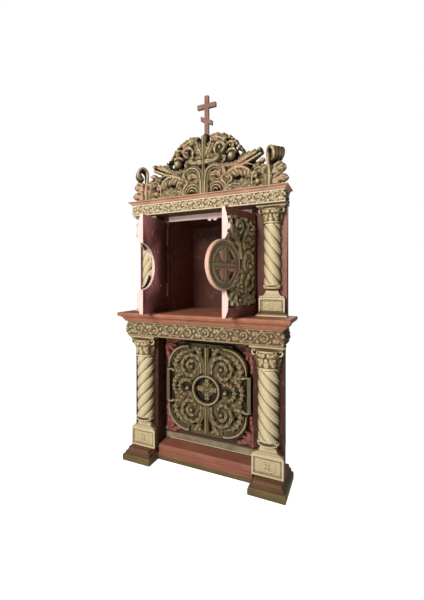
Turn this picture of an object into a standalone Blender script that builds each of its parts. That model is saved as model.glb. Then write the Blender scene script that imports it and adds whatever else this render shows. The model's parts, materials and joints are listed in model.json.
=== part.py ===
"""Two-tiered carved wooden altar: the construction, in metres, +Z up, front towards -Y.

The lower tier is a base on two stepped feet with a carved panel between twisted columns.
The upper tier is an open cabinet with two hinged doors between smaller twisted columns,
under a carved cornice, a pierced crown of leaves and a cross.

Depths are measured back from the face of the lower pedestals and heights from the floor.
The empty "altar" moves the whole to the origin at the middle of its footprint.
"""
import math

import bmesh
import bpy
from mathutils import Matrix, Vector

# Driving sizes
GAP = 0.0003
TABLE_TOP = 1.05
CORNICE_BOTTOM = 1.742
CROWN_BOTTOM = 1.845
CROSS_BOTTOM = 2.262
CROSS_TOP = 2.548
BACK = 0.56
BOARD = 0.022
CARCASS_HALF = 0.455

# Lower tier
FOOT_INNER, FOOT_OUTER, FOOT_HEIGHT = 0.347, 0.575, 0.088
FOOT_FRONT, FOOT_BACK = -0.083, 0.19
LOWER_COLUMN_X = 0.451
LOWER_PIER_FACE = 0.035
PANEL_FACE = 0.142
FRIEZE_BOTTOM = 0.885
TABLE_BOTTOM = 0.987
RETURN_BACK = 0.15

# Upper tier
UPPER_COLUMN_X = 0.461
UPPER_PIER_FACE = 0.095
OPENING_HALF = 0.318
FRAME_FACE = 0.12
CABINET_BACK = 0.52

# Doors
HINGE_X, HINGE_Y = 0.329, 0.117
DOOR_WIDTH, DOOR_THICKNESS = 0.329, 0.024
DOOR_BOTTOM, DOOR_TOP = 1.055, 1.702
LEFT_OPEN = math.radians(86)
RIGHT_OPEN = math.radians(73)
DOOR_GAP = 0.001
MEDALLION_RADIUS = 0.147
MEDALLION_Z = 1.363
MEDALLION_FRONT = -DOOR_THICKNESS - 0.004
NOTCH_RADIUS = 0.150

# The footprint runs from the medallion of the open right door to the back of the tabletop
FRONT_REACH = (HINGE_Y - (DOOR_WIDTH + MEDALLION_RADIUS) * math.sin(RIGHT_OPEN)
               + MEDALLION_FRONT * math.cos(RIGHT_OPEN))
TABLE_BACK = BACK + 0.010
ALTAR_Y = -(FRONT_REACH + TABLE_BACK) / 2

for old in list(bpy.data.objects):
    bpy.data.objects.remove(old)


def material(name, colour, roughness, metallic=0.0):
    """A plain Principled BSDF material."""
    made = bpy.data.materials.new(name)
    made.use_nodes = True
    shader = made.node_tree.nodes["Principled BSDF"]
    shader.inputs["Base Color"].default_value = (*colour, 1)
    shader.inputs["Roughness"].default_value = roughness
    shader.inputs["Metallic"].default_value = metallic
    return made


MAHOGANY = material("mahogany", (0.30, 0.10, 0.07), 0.45)
OLIVE = material("olive_carving", (0.22, 0.18, 0.09), 0.5)
CREAM = material("cream_carving", (0.62, 0.52, 0.33), 0.55)
PALE = material("pale_edge", (0.75, 0.52, 0.46), 0.6)
BRASS = material("brass", (0.72, 0.50, 0.22), 0.35, 1.0)


def empty(name, place, turn=0.0, parent=None):
    """An empty that carries other objects."""
    made = bpy.data.objects.new(name, None)
    made.location = place
    made.rotation_euler.z = turn
    made.parent = parent
    bpy.context.scene.collection.objects.link(made)
    return made


ALTAR = empty("altar", (0, ALTAR_Y, 0))


def piece(name, mesh, paint, place=(0, 0, 0), parent=ALTAR, smooth=False):
    """Turn a bmesh into a named object on its parent."""
    bmesh.ops.remove_doubles(mesh, verts=mesh.verts, dist=0.00001)
    bmesh.ops.recalc_face_normals(mesh, faces=mesh.faces)
    data = bpy.data.meshes.new(name)
    mesh.to_mesh(data)
    mesh.free()
    data.materials.append(paint)
    if smooth:
        data.shade_smooth()
        data.set_sharp_from_angle(angle=math.radians(40))
    made = bpy.data.objects.new(name, data)
    made.location = place
    made.parent = parent
    bpy.context.scene.collection.objects.link(made)
    return made


def box(name, low, high, paint, parent=ALTAR):
    """A plain board between two corners, with its origin at its middle."""
    size = Vector(high) - Vector(low)
    mesh = bmesh.new()
    bmesh.ops.create_cube(mesh, size=1, matrix=Matrix.Diagonal(size).to_4x4())
    return piece(name, mesh, paint, (Vector(low) + Vector(high)) / 2, parent)


def prism(mesh, points, move):
    """A solid: the polygon through the points, extruded by the vector move."""
    face = mesh.faces.new([mesh.verts.new(point) for point in points])
    grown = bmesh.ops.extrude_face_region(mesh, geom=[face])
    moved = [item for item in grown["geom"] if isinstance(item, bmesh.types.BMVert)]
    bmesh.ops.translate(mesh, verts=moved, vec=move)


def stacked(mesh, outline, levels):
    """A moulding: outline(out) gives a plan outline, and levels lists (out, z) going up."""
    corners = [mesh.verts.new((x, y, levels[0][1])) for x, y in outline(levels[0][0])]
    bottom = mesh.faces.new(corners)
    top = bottom
    for out, z in levels[1:]:
        below = [corner.co.copy() for corner in corners]
        grown = bmesh.ops.extrude_face_region(mesh, geom=[top])
        if top is not bottom:
            bmesh.ops.delete(mesh, geom=[top], context="FACES_ONLY")
        top = [item for item in grown["geom"] if isinstance(item, bmesh.types.BMFace)][0]
        corners = [min(top.verts, key=lambda vert: (vert.co - old).length) for old in below]
        for corner, (x, y) in zip(corners, outline(out)):
            corner.co = (x, y, z)


def relief(mesh, columns, rows, front, back):
    """A solid with a shaped front and a plain back: front(u, v) and back(u, v) give points.

    u and v run from 0 to 1. The back is dissolved into one flat face.
    """
    made = bmesh.ops.create_grid(mesh, x_segments=columns, y_segments=rows, size=0.5)
    grid = {vert: (vert.co.x + 0.5, vert.co.y + 0.5) for vert in made["verts"]}
    faces = list({face for vert in made["verts"] for face in vert.link_faces})
    grown = bmesh.ops.extrude_face_region(mesh, geom=faces)
    copies = [item for item in grown["geom"] if isinstance(item, bmesh.types.BMVert)]
    behind = [item for item in grown["geom"] if isinstance(item, bmesh.types.BMFace)]
    for vert in copies:
        vert.co = back(vert.co.x + 0.5, vert.co.y + 0.5)
    for vert, (u, v) in grid.items():
        vert.co = front(u, v)
    bmesh.ops.dissolve_faces(mesh, faces=behind)


def carve(made, voxel, keep):
    """Fuse overlapping carved shapes into one closed skin and thin it out."""
    fuse = made.modifiers.new("fuse", "REMESH")
    fuse.mode = "VOXEL"
    fuse.voxel_size = voxel
    thin = made.modifiers.new("thin", "DECIMATE")
    thin.ratio = keep
    return made


def fuse(made, name, extra):
    """Join the shapes of the bmesh extra onto an object as one body."""
    guide = piece(name, extra, made.data.materials[0], made.location, made.parent)
    guide.hide_render = True
    guide.display_type = "WIRE"
    union = made.modifiers.new(name, "BOOLEAN")
    union.operation = "UNION"
    union.use_self = True
    union.object = guide
    return made


def trim(made, name, low, high):
    """Cut a box away from an object, for a flat contact face."""
    guide = box(name, low, high, made.data.materials[0], made.parent)
    guide.hide_render = True
    guide.display_type = "WIRE"
    cut = made.modifiers.new(name, "BOOLEAN")
    cut.operation = "DIFFERENCE"
    cut.object = guide
    return made


def around(half, front, back_half, back):
    """A plan outline with wide front wings: only the front and the wings' ends grow."""
    def outline(out):
        wide = half + out
        near = front - out
        return ((-wide, near), (wide, near), (wide, RETURN_BACK), (back_half, RETURN_BACK),
                (back_half, back), (-back_half, back), (-back_half, RETURN_BACK),
                (-wide, RETURN_BACK))
    return outline


def plan_box(low_x, high_x, front, back):
    """A plan rectangle whose front and sides grow."""
    def outline(out):
        return ((low_x - out, front - out), (high_x + out, front - out),
                (high_x + out, back), (low_x - out, back))
    return outline


# Feet: an olive step with a rounded shoulder under a smaller mahogany step
def foot(side):
    low_x, high_x = sorted((side * FOOT_INNER, side * FOOT_OUTER))
    levels = ((-0.004, 0), (0, 0.004), (0, 0.036), (-0.006, 0.046), (-0.018, 0.050),
              (-0.018, 0.056), (-0.014, 0.060), (-0.024, 0.072), (-0.030, 0.084),
              (-0.030, FOOT_HEIGHT))
    mesh = bmesh.new()
    stacked(mesh, plan_box(low_x, high_x, FOOT_FRONT, FOOT_BACK), levels)
    return mesh


# Plinth rail: fills the space between the feet and slopes back to the panel at its top
def plinth_rail():
    profile = ((0.030, 0), (0.025, 0.004), (0.025, 0.040), (0.031, 0.046), (0.031, 0.052),
               (0.036, 0.056), (0.030, 0.072), (0.034, 0.096), (0.034, 0.106), (0.060, 0.108),
               (PANEL_FACE - GAP, 0.114), (PANEL_FACE - GAP, 0))
    mesh = bmesh.new()
    half = FOOT_INNER - GAP
    prism(mesh, [(-half, y, z) for y, z in profile], (2 * half, 0, 0))
    return mesh


# Pilasters: mahogany piers behind the columns, with a deeper inner side
def lower_pilaster(side):
    points = [(0.352, LOWER_PIER_FACE), (0.545, LOWER_PIER_FACE), (0.545, 0.075),
              (CARCASS_HALF - BOARD - GAP, 0.075), (CARCASS_HALF - BOARD - GAP, PANEL_FACE - GAP),
              (0.352, PANEL_FACE - GAP)]
    mesh = bmesh.new()
    bottom = FOOT_HEIGHT + GAP
    prism(mesh, [(side * x, y, bottom) for x, y in points],
          (0, 0, FRIEZE_BOTTOM - GAP - bottom))
    return mesh


def upper_pilaster(side):
    points = [(0.363, UPPER_PIER_FACE), (0.549, UPPER_PIER_FACE), (0.549, 0.145),
              (OPENING_HALF, 0.145), (OPENING_HALF, FRAME_FACE), (0.363, FRAME_FACE)]
    mesh = bmesh.new()
    bottom = TABLE_TOP + GAP
    prism(mesh, [(side * x, y, bottom) for x, y in points],
          (0, 0, CORNICE_BOTTOM - bottom))
    return mesh


# Lower sides: boards to the floor, cut away over the feet
def lower_side(inner):
    near, far = 0.075 + GAP, BACK - BOARD - GAP
    mesh = bmesh.new()
    prism(mesh, ((inner, FOOT_BACK + GAP, 0), (inner, far, 0), (inner, far, TABLE_BOTTOM - GAP),
                 (inner, near, TABLE_BOTTOM - GAP), (inner, near, FOOT_HEIGHT + GAP),
                 (inner, FOOT_BACK + GAP, FOOT_HEIGHT + GAP)), (BOARD, 0, 0))
    return mesh


# Columns: block, skirted base, twisted shaft and leafy capital, half sunk in the pilaster's face
class Column:
    """The sizes of one tier's columns."""

    def __init__(self, name, x, face, front, block_half, radius, plate, heights):
        self.name = name
        self.x = x
        self.face = face - GAP
        self.front = front
        self.block_half = block_half
        self.radius = radius
        self.plate = plate
        self.foot, self.block, self.base, self.shaft, self.top = heights

    def bulge(self, angle, radius):
        """A point of the flattened round at an angle from the middle of the front."""
        depth = self.face - self.front
        scale = radius / self.radius
        return radius * math.sin(angle), self.face - depth * scale * math.cos(angle)


LOWER_COLUMN = Column("lower_column", LOWER_COLUMN_X, LOWER_PIER_FACE, -0.032, 0.098, 0.068, 0,
                      (FOOT_HEIGHT, 0.213, 0.298, 0.752, FRIEZE_BOTTOM))
UPPER_COLUMN = Column("upper_column", UPPER_COLUMN_X, UPPER_PIER_FACE, 0.038, 0.082, 0.056, 0.016,
                      (TABLE_TOP, 1.165, 1.243, 1.644, CORNICE_BOTTOM))
TWIST_STRANDS = 4
TWIST_PITCH = 0.32
GROOVE = 0.16


def pedestal(column):
    """The block under the base: a raised frame round a sunk panel with an oval rosette."""
    half = column.block_half
    near = column.front + 0.020
    low = column.foot + GAP
    high = column.block - GAP
    mesh = bmesh.new()
    bmesh.ops.create_cube(mesh, size=1)
    for vert in mesh.verts:
        vert.co.x *= 2 * half
        vert.co.y = near if vert.co.y < 0 else column.face
        vert.co.z = low if vert.co.z < 0 else high
    mesh.faces.ensure_lookup_table()
    face = min(mesh.faces, key=lambda item: item.calc_center_median().y)
    bmesh.ops.inset_region(mesh, faces=[face], thickness=0.018, depth=0)
    bmesh.ops.inset_region(mesh, faces=[face], thickness=0.004, depth=-0.005)
    return mesh


def rosette(column):
    """The oval boss in the middle of a pedestal's panel, and a flared plate under the block."""
    middle = (column.foot + column.block) / 2
    rise = (column.block - column.foot) / 2 - 0.034
    floor = column.front + 0.027
    place = Matrix.Translation((0, floor - 0.003, middle)) @ Matrix.Rotation(math.pi / 2, 4, "X")
    mesh = bmesh.new()
    bmesh.ops.create_cone(mesh, cap_ends=True, segments=12, radius1=rise, radius2=0.7 * rise,
                          depth=0.012, matrix=place @ Matrix.Diagonal((1.5, 1, 1, 1)))
    if column.plate:
        half = column.block_half
        low = column.foot + GAP
        stacked(mesh, plan_box(-half, half, column.front + 0.018, column.face),
                ((column.plate, low), (column.plate, low + 0.007), (0.002, low + 0.020)))
    return mesh


def base(column):
    """The skirt over the block: it narrows to a neck and ends in a ring under the shaft."""
    height = column.base - column.block
    levels = ((0.0, column.block_half - 0.004), (0.14, column.block_half - 0.004),
              (0.22, column.block_half - 0.014), (0.40, 0.80 * column.radius + 0.006),
              (0.70, 0.74 * column.radius), (0.74, 1.12 * column.radius),
              (0.86, 1.16 * column.radius), (0.90, 1.04 * column.radius),
              (1.0, 1.04 * column.radius))
    near = column.front + 0.022

    def outline(step):
        half = levels[step][1]
        if step < 3:
            return ((-half, near), (half, near), (half, column.face), (-half, column.face))
        ends = [column.bulge(math.radians(angle), half) for angle in (-90, -40, 40, 90)]
        return [ends[1], ends[2], ends[3], ends[0]]

    mesh = bmesh.new()
    stacked(mesh, lambda step: outline(int(step)),
            [(step, column.block + height * level[0] + (GAP if step == 0 else 0)
              - (GAP if step == len(levels) - 1 else 0)) for step, level in enumerate(levels)])
    return mesh


def shaft(column, side):
    """Four rope strands twisted round the shaft, mirrored on the other side."""
    low = column.base + GAP
    high = column.shaft - 0.018
    turn = -side * 2 * math.pi / TWIST_PITCH

    def front(u, v):
        angle = math.pi * (u - 0.5)
        z = low + (high - low) * v
        strand = abs(math.sin(TWIST_STRANDS / 2 * (angle - turn * (z - low))))
        radius = column.radius * (1 - GROOVE * (1 - strand ** 0.6))
        x, y = column.bulge(angle, radius)
        return x, min(y, column.face - 0.002), z

    def back(u, v):
        x, _, z = front(u, v)
        return x, column.face, z

    mesh = bmesh.new()
    relief(mesh, 6, 13, front, back)
    return mesh


def capital_size(column):
    """The capital's lowest height, its height and the half width of its abacus."""
    low = column.shaft - 0.018 + GAP
    return low, column.top - GAP - low, column.block_half + 0.012


def bell(column):
    """The astragal and the flared bell of a capital."""
    low, height, _ = capital_size(column)
    radius = column.radius
    mesh = bmesh.new()
    levels = ((0, 1.08 * radius), (0.08, 1.14 * radius), (0.14, 1.0 * radius),
              (0.22, 1.0 * radius), (0.62, 1.22 * radius), (0.74, 1.3 * radius))

    def outline(step):
        spread = levels[int(step)][1]
        ends = [column.bulge(math.radians(angle), spread) for angle in range(-90, 91, 36)]
        return [(x, min(y, column.face)) for x, y in ends]

    stacked(mesh, outline, [(step, low + height * level[0])
                            for step, level in enumerate(levels)])
    return mesh


def capital_leaves(column):
    """The abacus, two rows of leaves and the corner volutes of a capital."""
    low, height, wide = capital_size(column)
    mesh = bmesh.new()
    near = column.front - 0.008
    shelf = low + height * 0.70
    prism(mesh, ((-wide, near, shelf), (-0.6 * wide, near + 0.012, shelf),
                 (0.6 * wide, near + 0.012, shelf), (wide, near, shelf),
                 (wide, column.face, shelf), (-wide, column.face, shelf)),
          (0, 0, low + height - shelf))
    for row, count, size in ((0.28, 3, 0.028), (0.50, 4, 0.026)):
        for step in range(count):
            angle = math.radians(-62 + 124 * step / (count - 1))
            x, y = column.bulge(angle, 1.12 * column.radius)
            leaf = Matrix.Translation((x, min(y, column.face - size), low + height * row))
            leaf @= Matrix.Diagonal((0.7, 0.6, 1.1, 1))
            bmesh.ops.create_icosphere(mesh, subdivisions=1, radius=size, matrix=leaf)
    for side in (-1, 1):
        turn = Matrix.Translation((side * (wide - 0.025), near + 0.020, low + height * 0.66))
        turn @= Matrix.Rotation(math.pi / 2, 4, "X")
        bmesh.ops.create_cone(mesh, cap_ends=True, segments=8, radius1=0.024, radius2=0.020,
                              depth=0.024, matrix=turn)
    return mesh


# Carved leaves: ribbons with lobed edges and a domed face, on a flat back
def bend(start, pull, end):
    """A spine from start to end, drawn towards pull."""
    a, b, c = Vector(start), Vector(pull), Vector(end)
    return lambda s: a * (1 - s) ** 2 + b * 2 * s * (1 - s) + c * s * s


def curl(centre, radius, start, sweep, inner=0.3):
    """A spiral spine round a centre, from radius in to inner times radius, angles in degrees."""
    middle = Vector(centre)

    def spine(s):
        angle = math.radians(start + sweep * s)
        reach = radius * (1 + (inner - 1) * s)
        return middle + reach * Vector((math.cos(angle), math.sin(angle)))
    return spine


def leaf(mesh, spine, width, rise, ground, steps=8, lobes=4):
    """A carved leaf along a spine in the plane of x and z, rising forward from y = ground."""
    def across(s):
        ahead = spine(min(s + 0.02, 1)) - spine(max(s - 0.02, 0))
        return Vector((-ahead.y, ahead.x)).normalized()

    def half(s):
        taper = math.sin(math.pi * (0.10 + 0.82 * s)) ** 0.6
        return width * taper * (1 + 0.20 * math.cos(2 * math.pi * lobes * s))

    def flat(u, v):
        spot = spine(u) + across(u) * half(u) * (2 * v - 1)
        return spot.x, ground, spot.y

    def front(u, v):
        x, _, z = flat(u, v)
        return x, ground - rise * (1 - 0.75 * (2 * v - 1) ** 2), z

    relief(mesh, steps, 2, front, flat)


def bud(mesh, x, z, radius, rise, ground):
    """A round bud that stands on the ground and rises forward."""
    place = Matrix.Translation((x, ground, z)) @ Matrix.Diagonal((radius, rise, radius, 1))
    bmesh.ops.create_icosphere(mesh, subdivisions=1, radius=1, matrix=place)


def ring(mesh, x, z, inner, outer, front, back, segments=24):
    """A flat ring that faces the front."""
    section = [mesh.verts.new((x + r, y, z)) for r, y in
               ((inner, back), (outer, back), (outer, front), (inner, front))]
    edges = [mesh.edges.new((section[i - 1], section[i])) for i in range(4)]
    bmesh.ops.spin(mesh, geom=edges, cent=(x, 0, z), axis=(0, 1, 0), angle=2 * math.pi,
                   steps=segments, use_merge=True)


# Lower panel: a carved rosette panel in a rounded frame of arcs and bars
TRIM = 0.006
PANEL_MIDDLE = 0.520
PANEL_GROUND = PANEL_FACE - 0.022
ARC_X, ARC_UP, ARC_RADIUS = 0.140, 0.143, 0.150
BAR_X = 0.305
RING_OUTER, RING_INNER = 0.107, 0.086


def panel_carving():
    mesh = bmesh.new()
    back = PANEL_FACE + TRIM
    ground = PANEL_GROUND
    middle = PANEL_MIDDLE
    reach_x = ARC_X + ARC_RADIUS
    reach_z = ARC_UP + ARC_RADIUS
    corners = []
    for turn, (side, up) in enumerate(((1, -1), (1, 1), (-1, 1), (-1, -1))):
        for part in range(5):
            angle = math.radians(-90 + 90 * turn + 22.5 * part)
            corners.append((side * ARC_X + ARC_RADIUS * math.cos(angle), back,
                            middle + up * ARC_UP + ARC_RADIUS * math.sin(angle)))
    prism(mesh, corners, (0, ground - back, 0))
    for side in (-1, 1):
        for up in (-1, 1):
            start = 0 if up > 0 else -90
            if side < 0:
                start = 180 - start - 90
            arc = curl((side * ARC_X, middle + up * ARC_UP), ARC_RADIUS, start - 5, 100, 1)
            leaf(mesh, arc, 0.016, 0.046, ground + 0.010, 8, 0)
            whorl = (side * 0.112, middle + up * 0.140)
            leaf(mesh, curl(whorl, 0.062, 90 - side * 60 if up > 0 else 270 + side * 60,
                            side * up * 320), 0.024, 0.042, ground + 0.004, 11, 5)
            bud(mesh, whorl[0], whorl[1], 0.024, 0.050, ground)
            leaf(mesh, curl((side * ARC_X, middle + up * ARC_UP), 0.118,
                            start, 90, 1), 0.020, 0.030, ground + 0.004, 8, 4)
        bar = ((side * (BAR_X - 0.011), back, middle - 0.122),
               (side * (BAR_X + 0.011), back, middle - 0.122),
               (side * (BAR_X + 0.011), back, middle + 0.120),
               (side * (BAR_X - 0.011), back, middle + 0.120))
        prism(mesh, bar, (0, PANEL_FACE - 0.052 - back, 0))
        for up in (-1, 1):
            leaf(mesh, bend((side * BAR_X, middle + up * 0.112),
                            (side * 0.285, middle + up * 0.128),
                            (side * 0.262, middle + up * 0.108)), 0.013, 0.040,
                 ground + 0.012, 3, 0)
        leaf(mesh, curl((side * 0.180, middle), 0.062, 90 + side * 70, side * -320), 0.024,
             0.042, ground + 0.004, 11, 5)
        bud(mesh, side * 0.155, middle, 0.024, 0.052, ground)
    for up in (-1, 1):
        rail = middle + up * 0.300
        prism(mesh, ((-0.19, back, rail - 0.016), (0.19, back, rail - 0.016),
                     (0.19, back, rail + 0.016), (-0.19, back, rail + 0.016)),
              (0, PANEL_FACE - 0.046 - back, 0))
        for side in (-0.5, 0, 0.5):
            leaf(mesh, bend((side * 0.020, middle + up * 0.098),
                            (side * 0.050, middle + up * 0.18),
                            (side * 0.110, middle + up * 0.290)), 0.014, 0.040,
                 ground + 0.004, 4, 0)
    ring(mesh, 0, middle, RING_INNER, RING_OUTER, ground - 0.046, back)
    for petal in range(4):
        angle = math.radians(90 * petal)
        tip = Vector((math.cos(angle), math.sin(angle)))
        leaf(mesh, bend((0, middle), Vector((0, middle)) + tip * 0.04,
                        Vector((0, middle)) + tip * 0.088), 0.026, 0.030,
             ground + 0.002, 4, 0)
    return mesh


def corner_leaves(side, up):
    """Three leaves that fill a corner outside the arcs, one of them along the side."""
    mesh = bmesh.new()
    ground = PANEL_FACE + TRIM
    root = Vector((side * 0.326, PANEL_MIDDLE + up * 0.328))
    for lean, length, width in ((4, 0.185, 0.017), (45, 0.085, 0.020), (88, 0.110, 0.018)):
        angle = math.radians(lean)
        way = Vector((-side * math.sin(angle), -up * math.cos(angle)))
        leaf(mesh, bend(root - way * 0.012, root + way * length / 2, root + way * length),
             width, 0.034 + TRIM, ground, 5, 2)
    bud(mesh, root.x, root.y, 0.024, 0.034 + TRIM, ground)
    for vert in mesh.verts:
        vert.co.y = min(vert.co.y, ground)
    return mesh


# Crown: a backing in the shape of the crown with leaves and whorls in front
CROWN_FRONT = 0.080
CROWN_BACK = 0.115
WING_START, WING_FORWARD = 0.36, 0.040
CROOK_X, CROOK_Y = 0.472, 0.055
CROOK = ((-0.014, 0.0), (0.016, 0.0), (0.012, 0.100), (0.014, 0.170), (0.036, 0.166),
         (0.056, 0.178), (0.062, 0.200), (0.050, 0.226), (0.022, 0.240), (-0.008, 0.222),
         (-0.016, 0.180), (-0.018, 0.100))


def crook(mesh, side):
    """The corner leaf: a strap set across the corner, wider upwards, that curls over outwards."""
    outward = Vector((side, -1, 0)).normalized()
    across = Vector((side, 1, 0)).normalized()
    root = Vector((side * CROOK_X, CROOK_Y, CROWN_BOTTOM - TRIM))

    def half(height):
        return 0.022 + 0.12 * height

    start = [root + outward * out - across * half(h) + Vector((0, 0, h)) for out, h in CROOK]
    face = mesh.faces.new([mesh.verts.new(point) for point in start])
    grown = bmesh.ops.extrude_face_region(mesh, geom=[face])
    for vert in [item for item in grown["geom"] if isinstance(item, bmesh.types.BMVert)]:
        vert.co += across * 2 * half(vert.co.z - root.z)


def crown():
    mesh = bmesh.new()
    low = CROWN_BOTTOM
    outline = [(0.0, 0.395), (0.06, 0.390), (0.12, 0.372), (0.18, 0.338), (0.23, 0.290),
               (0.27, 0.235), (0.33, 0.215), (0.38, 0.205), (0.43, 0.190), (0.455, 0.150),
               (0.490, 0.100), (0.500, 0.040), (0.505, 0.0)]
    half = [(x, CROWN_BACK, low + h - (TRIM if h == 0 else 0)) for x, h in outline]
    other = [(-x, y, z) for x, y, z in reversed(half) if x > 0]
    prism(mesh, other + half, (0, CROWN_FRONT - CROWN_BACK + 0.005, 0))
    for cut in (-CROOK_X, -WING_START, WING_START, CROOK_X):
        bmesh.ops.bisect_plane(mesh, geom=[*mesh.verts, *mesh.edges, *mesh.faces],
                               plane_co=(cut, 0, 0), plane_no=(1, 0, 0))
    ground = CROWN_FRONT + 0.008
    leaf(mesh, bend((0, low), (0, low + 0.2), (0, low + 0.412)), 0.030, 0.050, ground, 6, 0)
    whorls = (((0.075, 0.055), 0.052, 190, -300, 0.024), ((0.082, 0.150), 0.062, 200, -290, 0.026),
              ((0.083, 0.300), 0.050, 220, -320, 0.022), ((0.175, 0.262), 0.056, 200, -330, 0.025),
              ((0.165, 0.085), 0.042, 150, -320, 0.020), ((0.300, 0.055), 0.046, 30, 300, 0.022),
              ((0.390, 0.070), 0.048, 160, -310, 0.022), ((0.150, 0.350), 0.034, 120, -300, 0.018),
              ((0.240, 0.180), 0.042, 190, -300, 0.020))
    sprays = (((0.02, 0.19), (0.06, 0.19), (0.075, 0.26), 0.022),
              ((0.08, 0.09), (0.22, 0.12), (0.325, 0.262), 0.030),
              ((0.12, 0.05), (0.29, 0.09), (0.392, 0.268), 0.030),
              ((0.26, 0.04), (0.36, 0.07), (0.435, 0.215), 0.026),
              ((0.480, 0.120), (0.520, 0.160), (0.560, 0.120), 0.020),
              ((0.490, 0.050), (0.530, 0.085), (0.570, 0.045), 0.020))
    for side in (-1, 1):
        for (x, h), radius, start, sweep, width in whorls:
            first = start if side > 0 else 180 - start
            leaf(mesh, curl((side * x, low + h), radius, first, side * sweep), width, 0.042,
                 ground, 9, 4)
            bud(mesh, side * x, low + h, 0.5 * radius, 0.050, ground)
        for *points, width in sprays:
            spine = bend(*[(side * x, low + h) for x, h in points])
            leaf(mesh, spine, width, 0.048, ground, 7, 3)
        bud(mesh, side * 0.205, low + 0.228, 0.022, 0.026, ground)
        for step in range(7):
            angle = math.radians(8 + 12.5 * step)
            bud(mesh, side * 0.262 * math.sin(angle), low + 0.205 + 0.205 * math.cos(angle),
                0.024, 0.034, ground)
    for vert in mesh.verts:
        vert.co.y = min(vert.co.y, CROWN_BACK)
        vert.co.z = max(vert.co.z, low - TRIM)
        if vert.co.y < CROWN_BACK:
            share = (abs(vert.co.x) - WING_START) / (CROOK_X - WING_START)
            vert.co.y -= WING_FORWARD * min(1, max(0, share))
    for side in (-1, 1):
        crook(mesh, side)
    return mesh


# Cross: a post with a main bar and a slanted lower bar, one piece
CROSS_FRONT, CROSS_THICK = 0.092, 0.022


def cross():
    wide = 0.030
    low = CROSS_BOTTOM + GAP
    middle = 2.4775
    tilt = math.atan2(0.042, 0.087)
    arm, half_bar = 0.0695, 0.0155
    slant, half_slant = 0.0435, 0.014
    foot_z = 2.375
    rise = math.tan(tilt) * wide / 2
    half_drop = half_slant / math.cos(tilt)

    def slanted(x, up):
        return x, foot_z - math.tan(tilt) * x + up * half_drop

    points = [(-0.030, low), (0.030, low), (0.022, low + 0.014), (wide / 2, low + 0.022),
              slanted(wide / 2, -1), slanted(slant, -1), slanted(slant, 1),
              (wide / 2, foot_z - rise + half_drop),
              (wide / 2, middle - half_bar), (arm, middle - half_bar),
              (arm, middle + half_bar), (wide / 2, middle + half_bar), (wide / 2, CROSS_TOP),
              (-wide / 2, CROSS_TOP), (-wide / 2, middle + half_bar), (-arm, middle + half_bar),
              (-arm, middle - half_bar), (-wide / 2, middle - half_bar),
              (-wide / 2, foot_z + rise + half_drop), slanted(-slant, 1), slanted(-slant, -1),
              slanted(-wide / 2, -1), (-wide / 2, low + 0.022), (-0.022, low + 0.014)]
    mesh = bmesh.new()
    prism(mesh, [(x, CROSS_FRONT, z) for x, z in points], (0, CROSS_THICK, 0))
    return mesh


# Carved bands: bumps along the front of the frieze and the cornice
def band(half, near, back, low, high, thick, bulge, bumps, columns, rows):
    """A carved board along the front with short returns, as one bent strip."""
    side = back - near
    length = 2 * (half + side)
    wall = half - thick

    def along(distance, out):
        if distance < side:
            return -half - out, back - distance * (1 + out / side)
        if distance > side + 2 * half:
            return half + out, near - out + (distance - side - 2 * half) * (1 + out / side)
        return (distance - side - half) * (1 + out / half), near - out

    stops = [0.0, side * 0.5, side]
    stops += [side + 2 * half * (i + 1) / columns for i in range(columns)]
    stops += [side * 1.5 + 2 * half, length]

    def front(u, v):
        place = u * (len(stops) - 1)
        distance = stops[round(place)]
        swell = bulge * (1 - (2 * v - 1) ** 2)
        edge = 0 if v in (0.0, 1.0) or distance in (0.0, length) else 1
        lump = bumps * edge * (0.5 + 0.5 * math.cos(math.pi * round(place))
                               * math.cos(math.pi * round(v * rows)))
        x, y = along(distance, swell + lump)
        return x, y, low + (high - low) * v

    def behind(u, v):
        distance = stops[round(u * (len(stops) - 1))]
        x, y = along(distance, 0)
        x = max(-wall, min(wall, x))
        y = max(near + thick, y)
        return x, y, low + (high - low) * v

    mesh = bmesh.new()
    made = bmesh.ops.create_grid(mesh, x_segments=len(stops) - 1, y_segments=rows, size=0.5)
    grid = {vert: (vert.co.x + 0.5, vert.co.y + 0.5) for vert in made["verts"]}
    grown = bmesh.ops.extrude_face_region(mesh, geom=list(mesh.faces))
    for vert in [item for item in grown["geom"] if isinstance(item, bmesh.types.BMVert)]:
        vert.co = behind(vert.co.x + 0.5, vert.co.y + 0.5)
    for vert, (u, v) in grid.items():
        vert.co = front(u, v)
    bmesh.ops.dissolve_limit(mesh, angle_limit=math.radians(0.5), verts=mesh.verts,
                             edges=mesh.edges)
    return mesh


# Doors: boards with a wavy carved face, a half-round notch and a hinge edge at their origin
DOOR_STILE = 0.034
NOTCH_TURNS = 12
WAVE_HEIGHTS = (1.145, 1.594)
WAVE_REACH = 0.085


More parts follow.
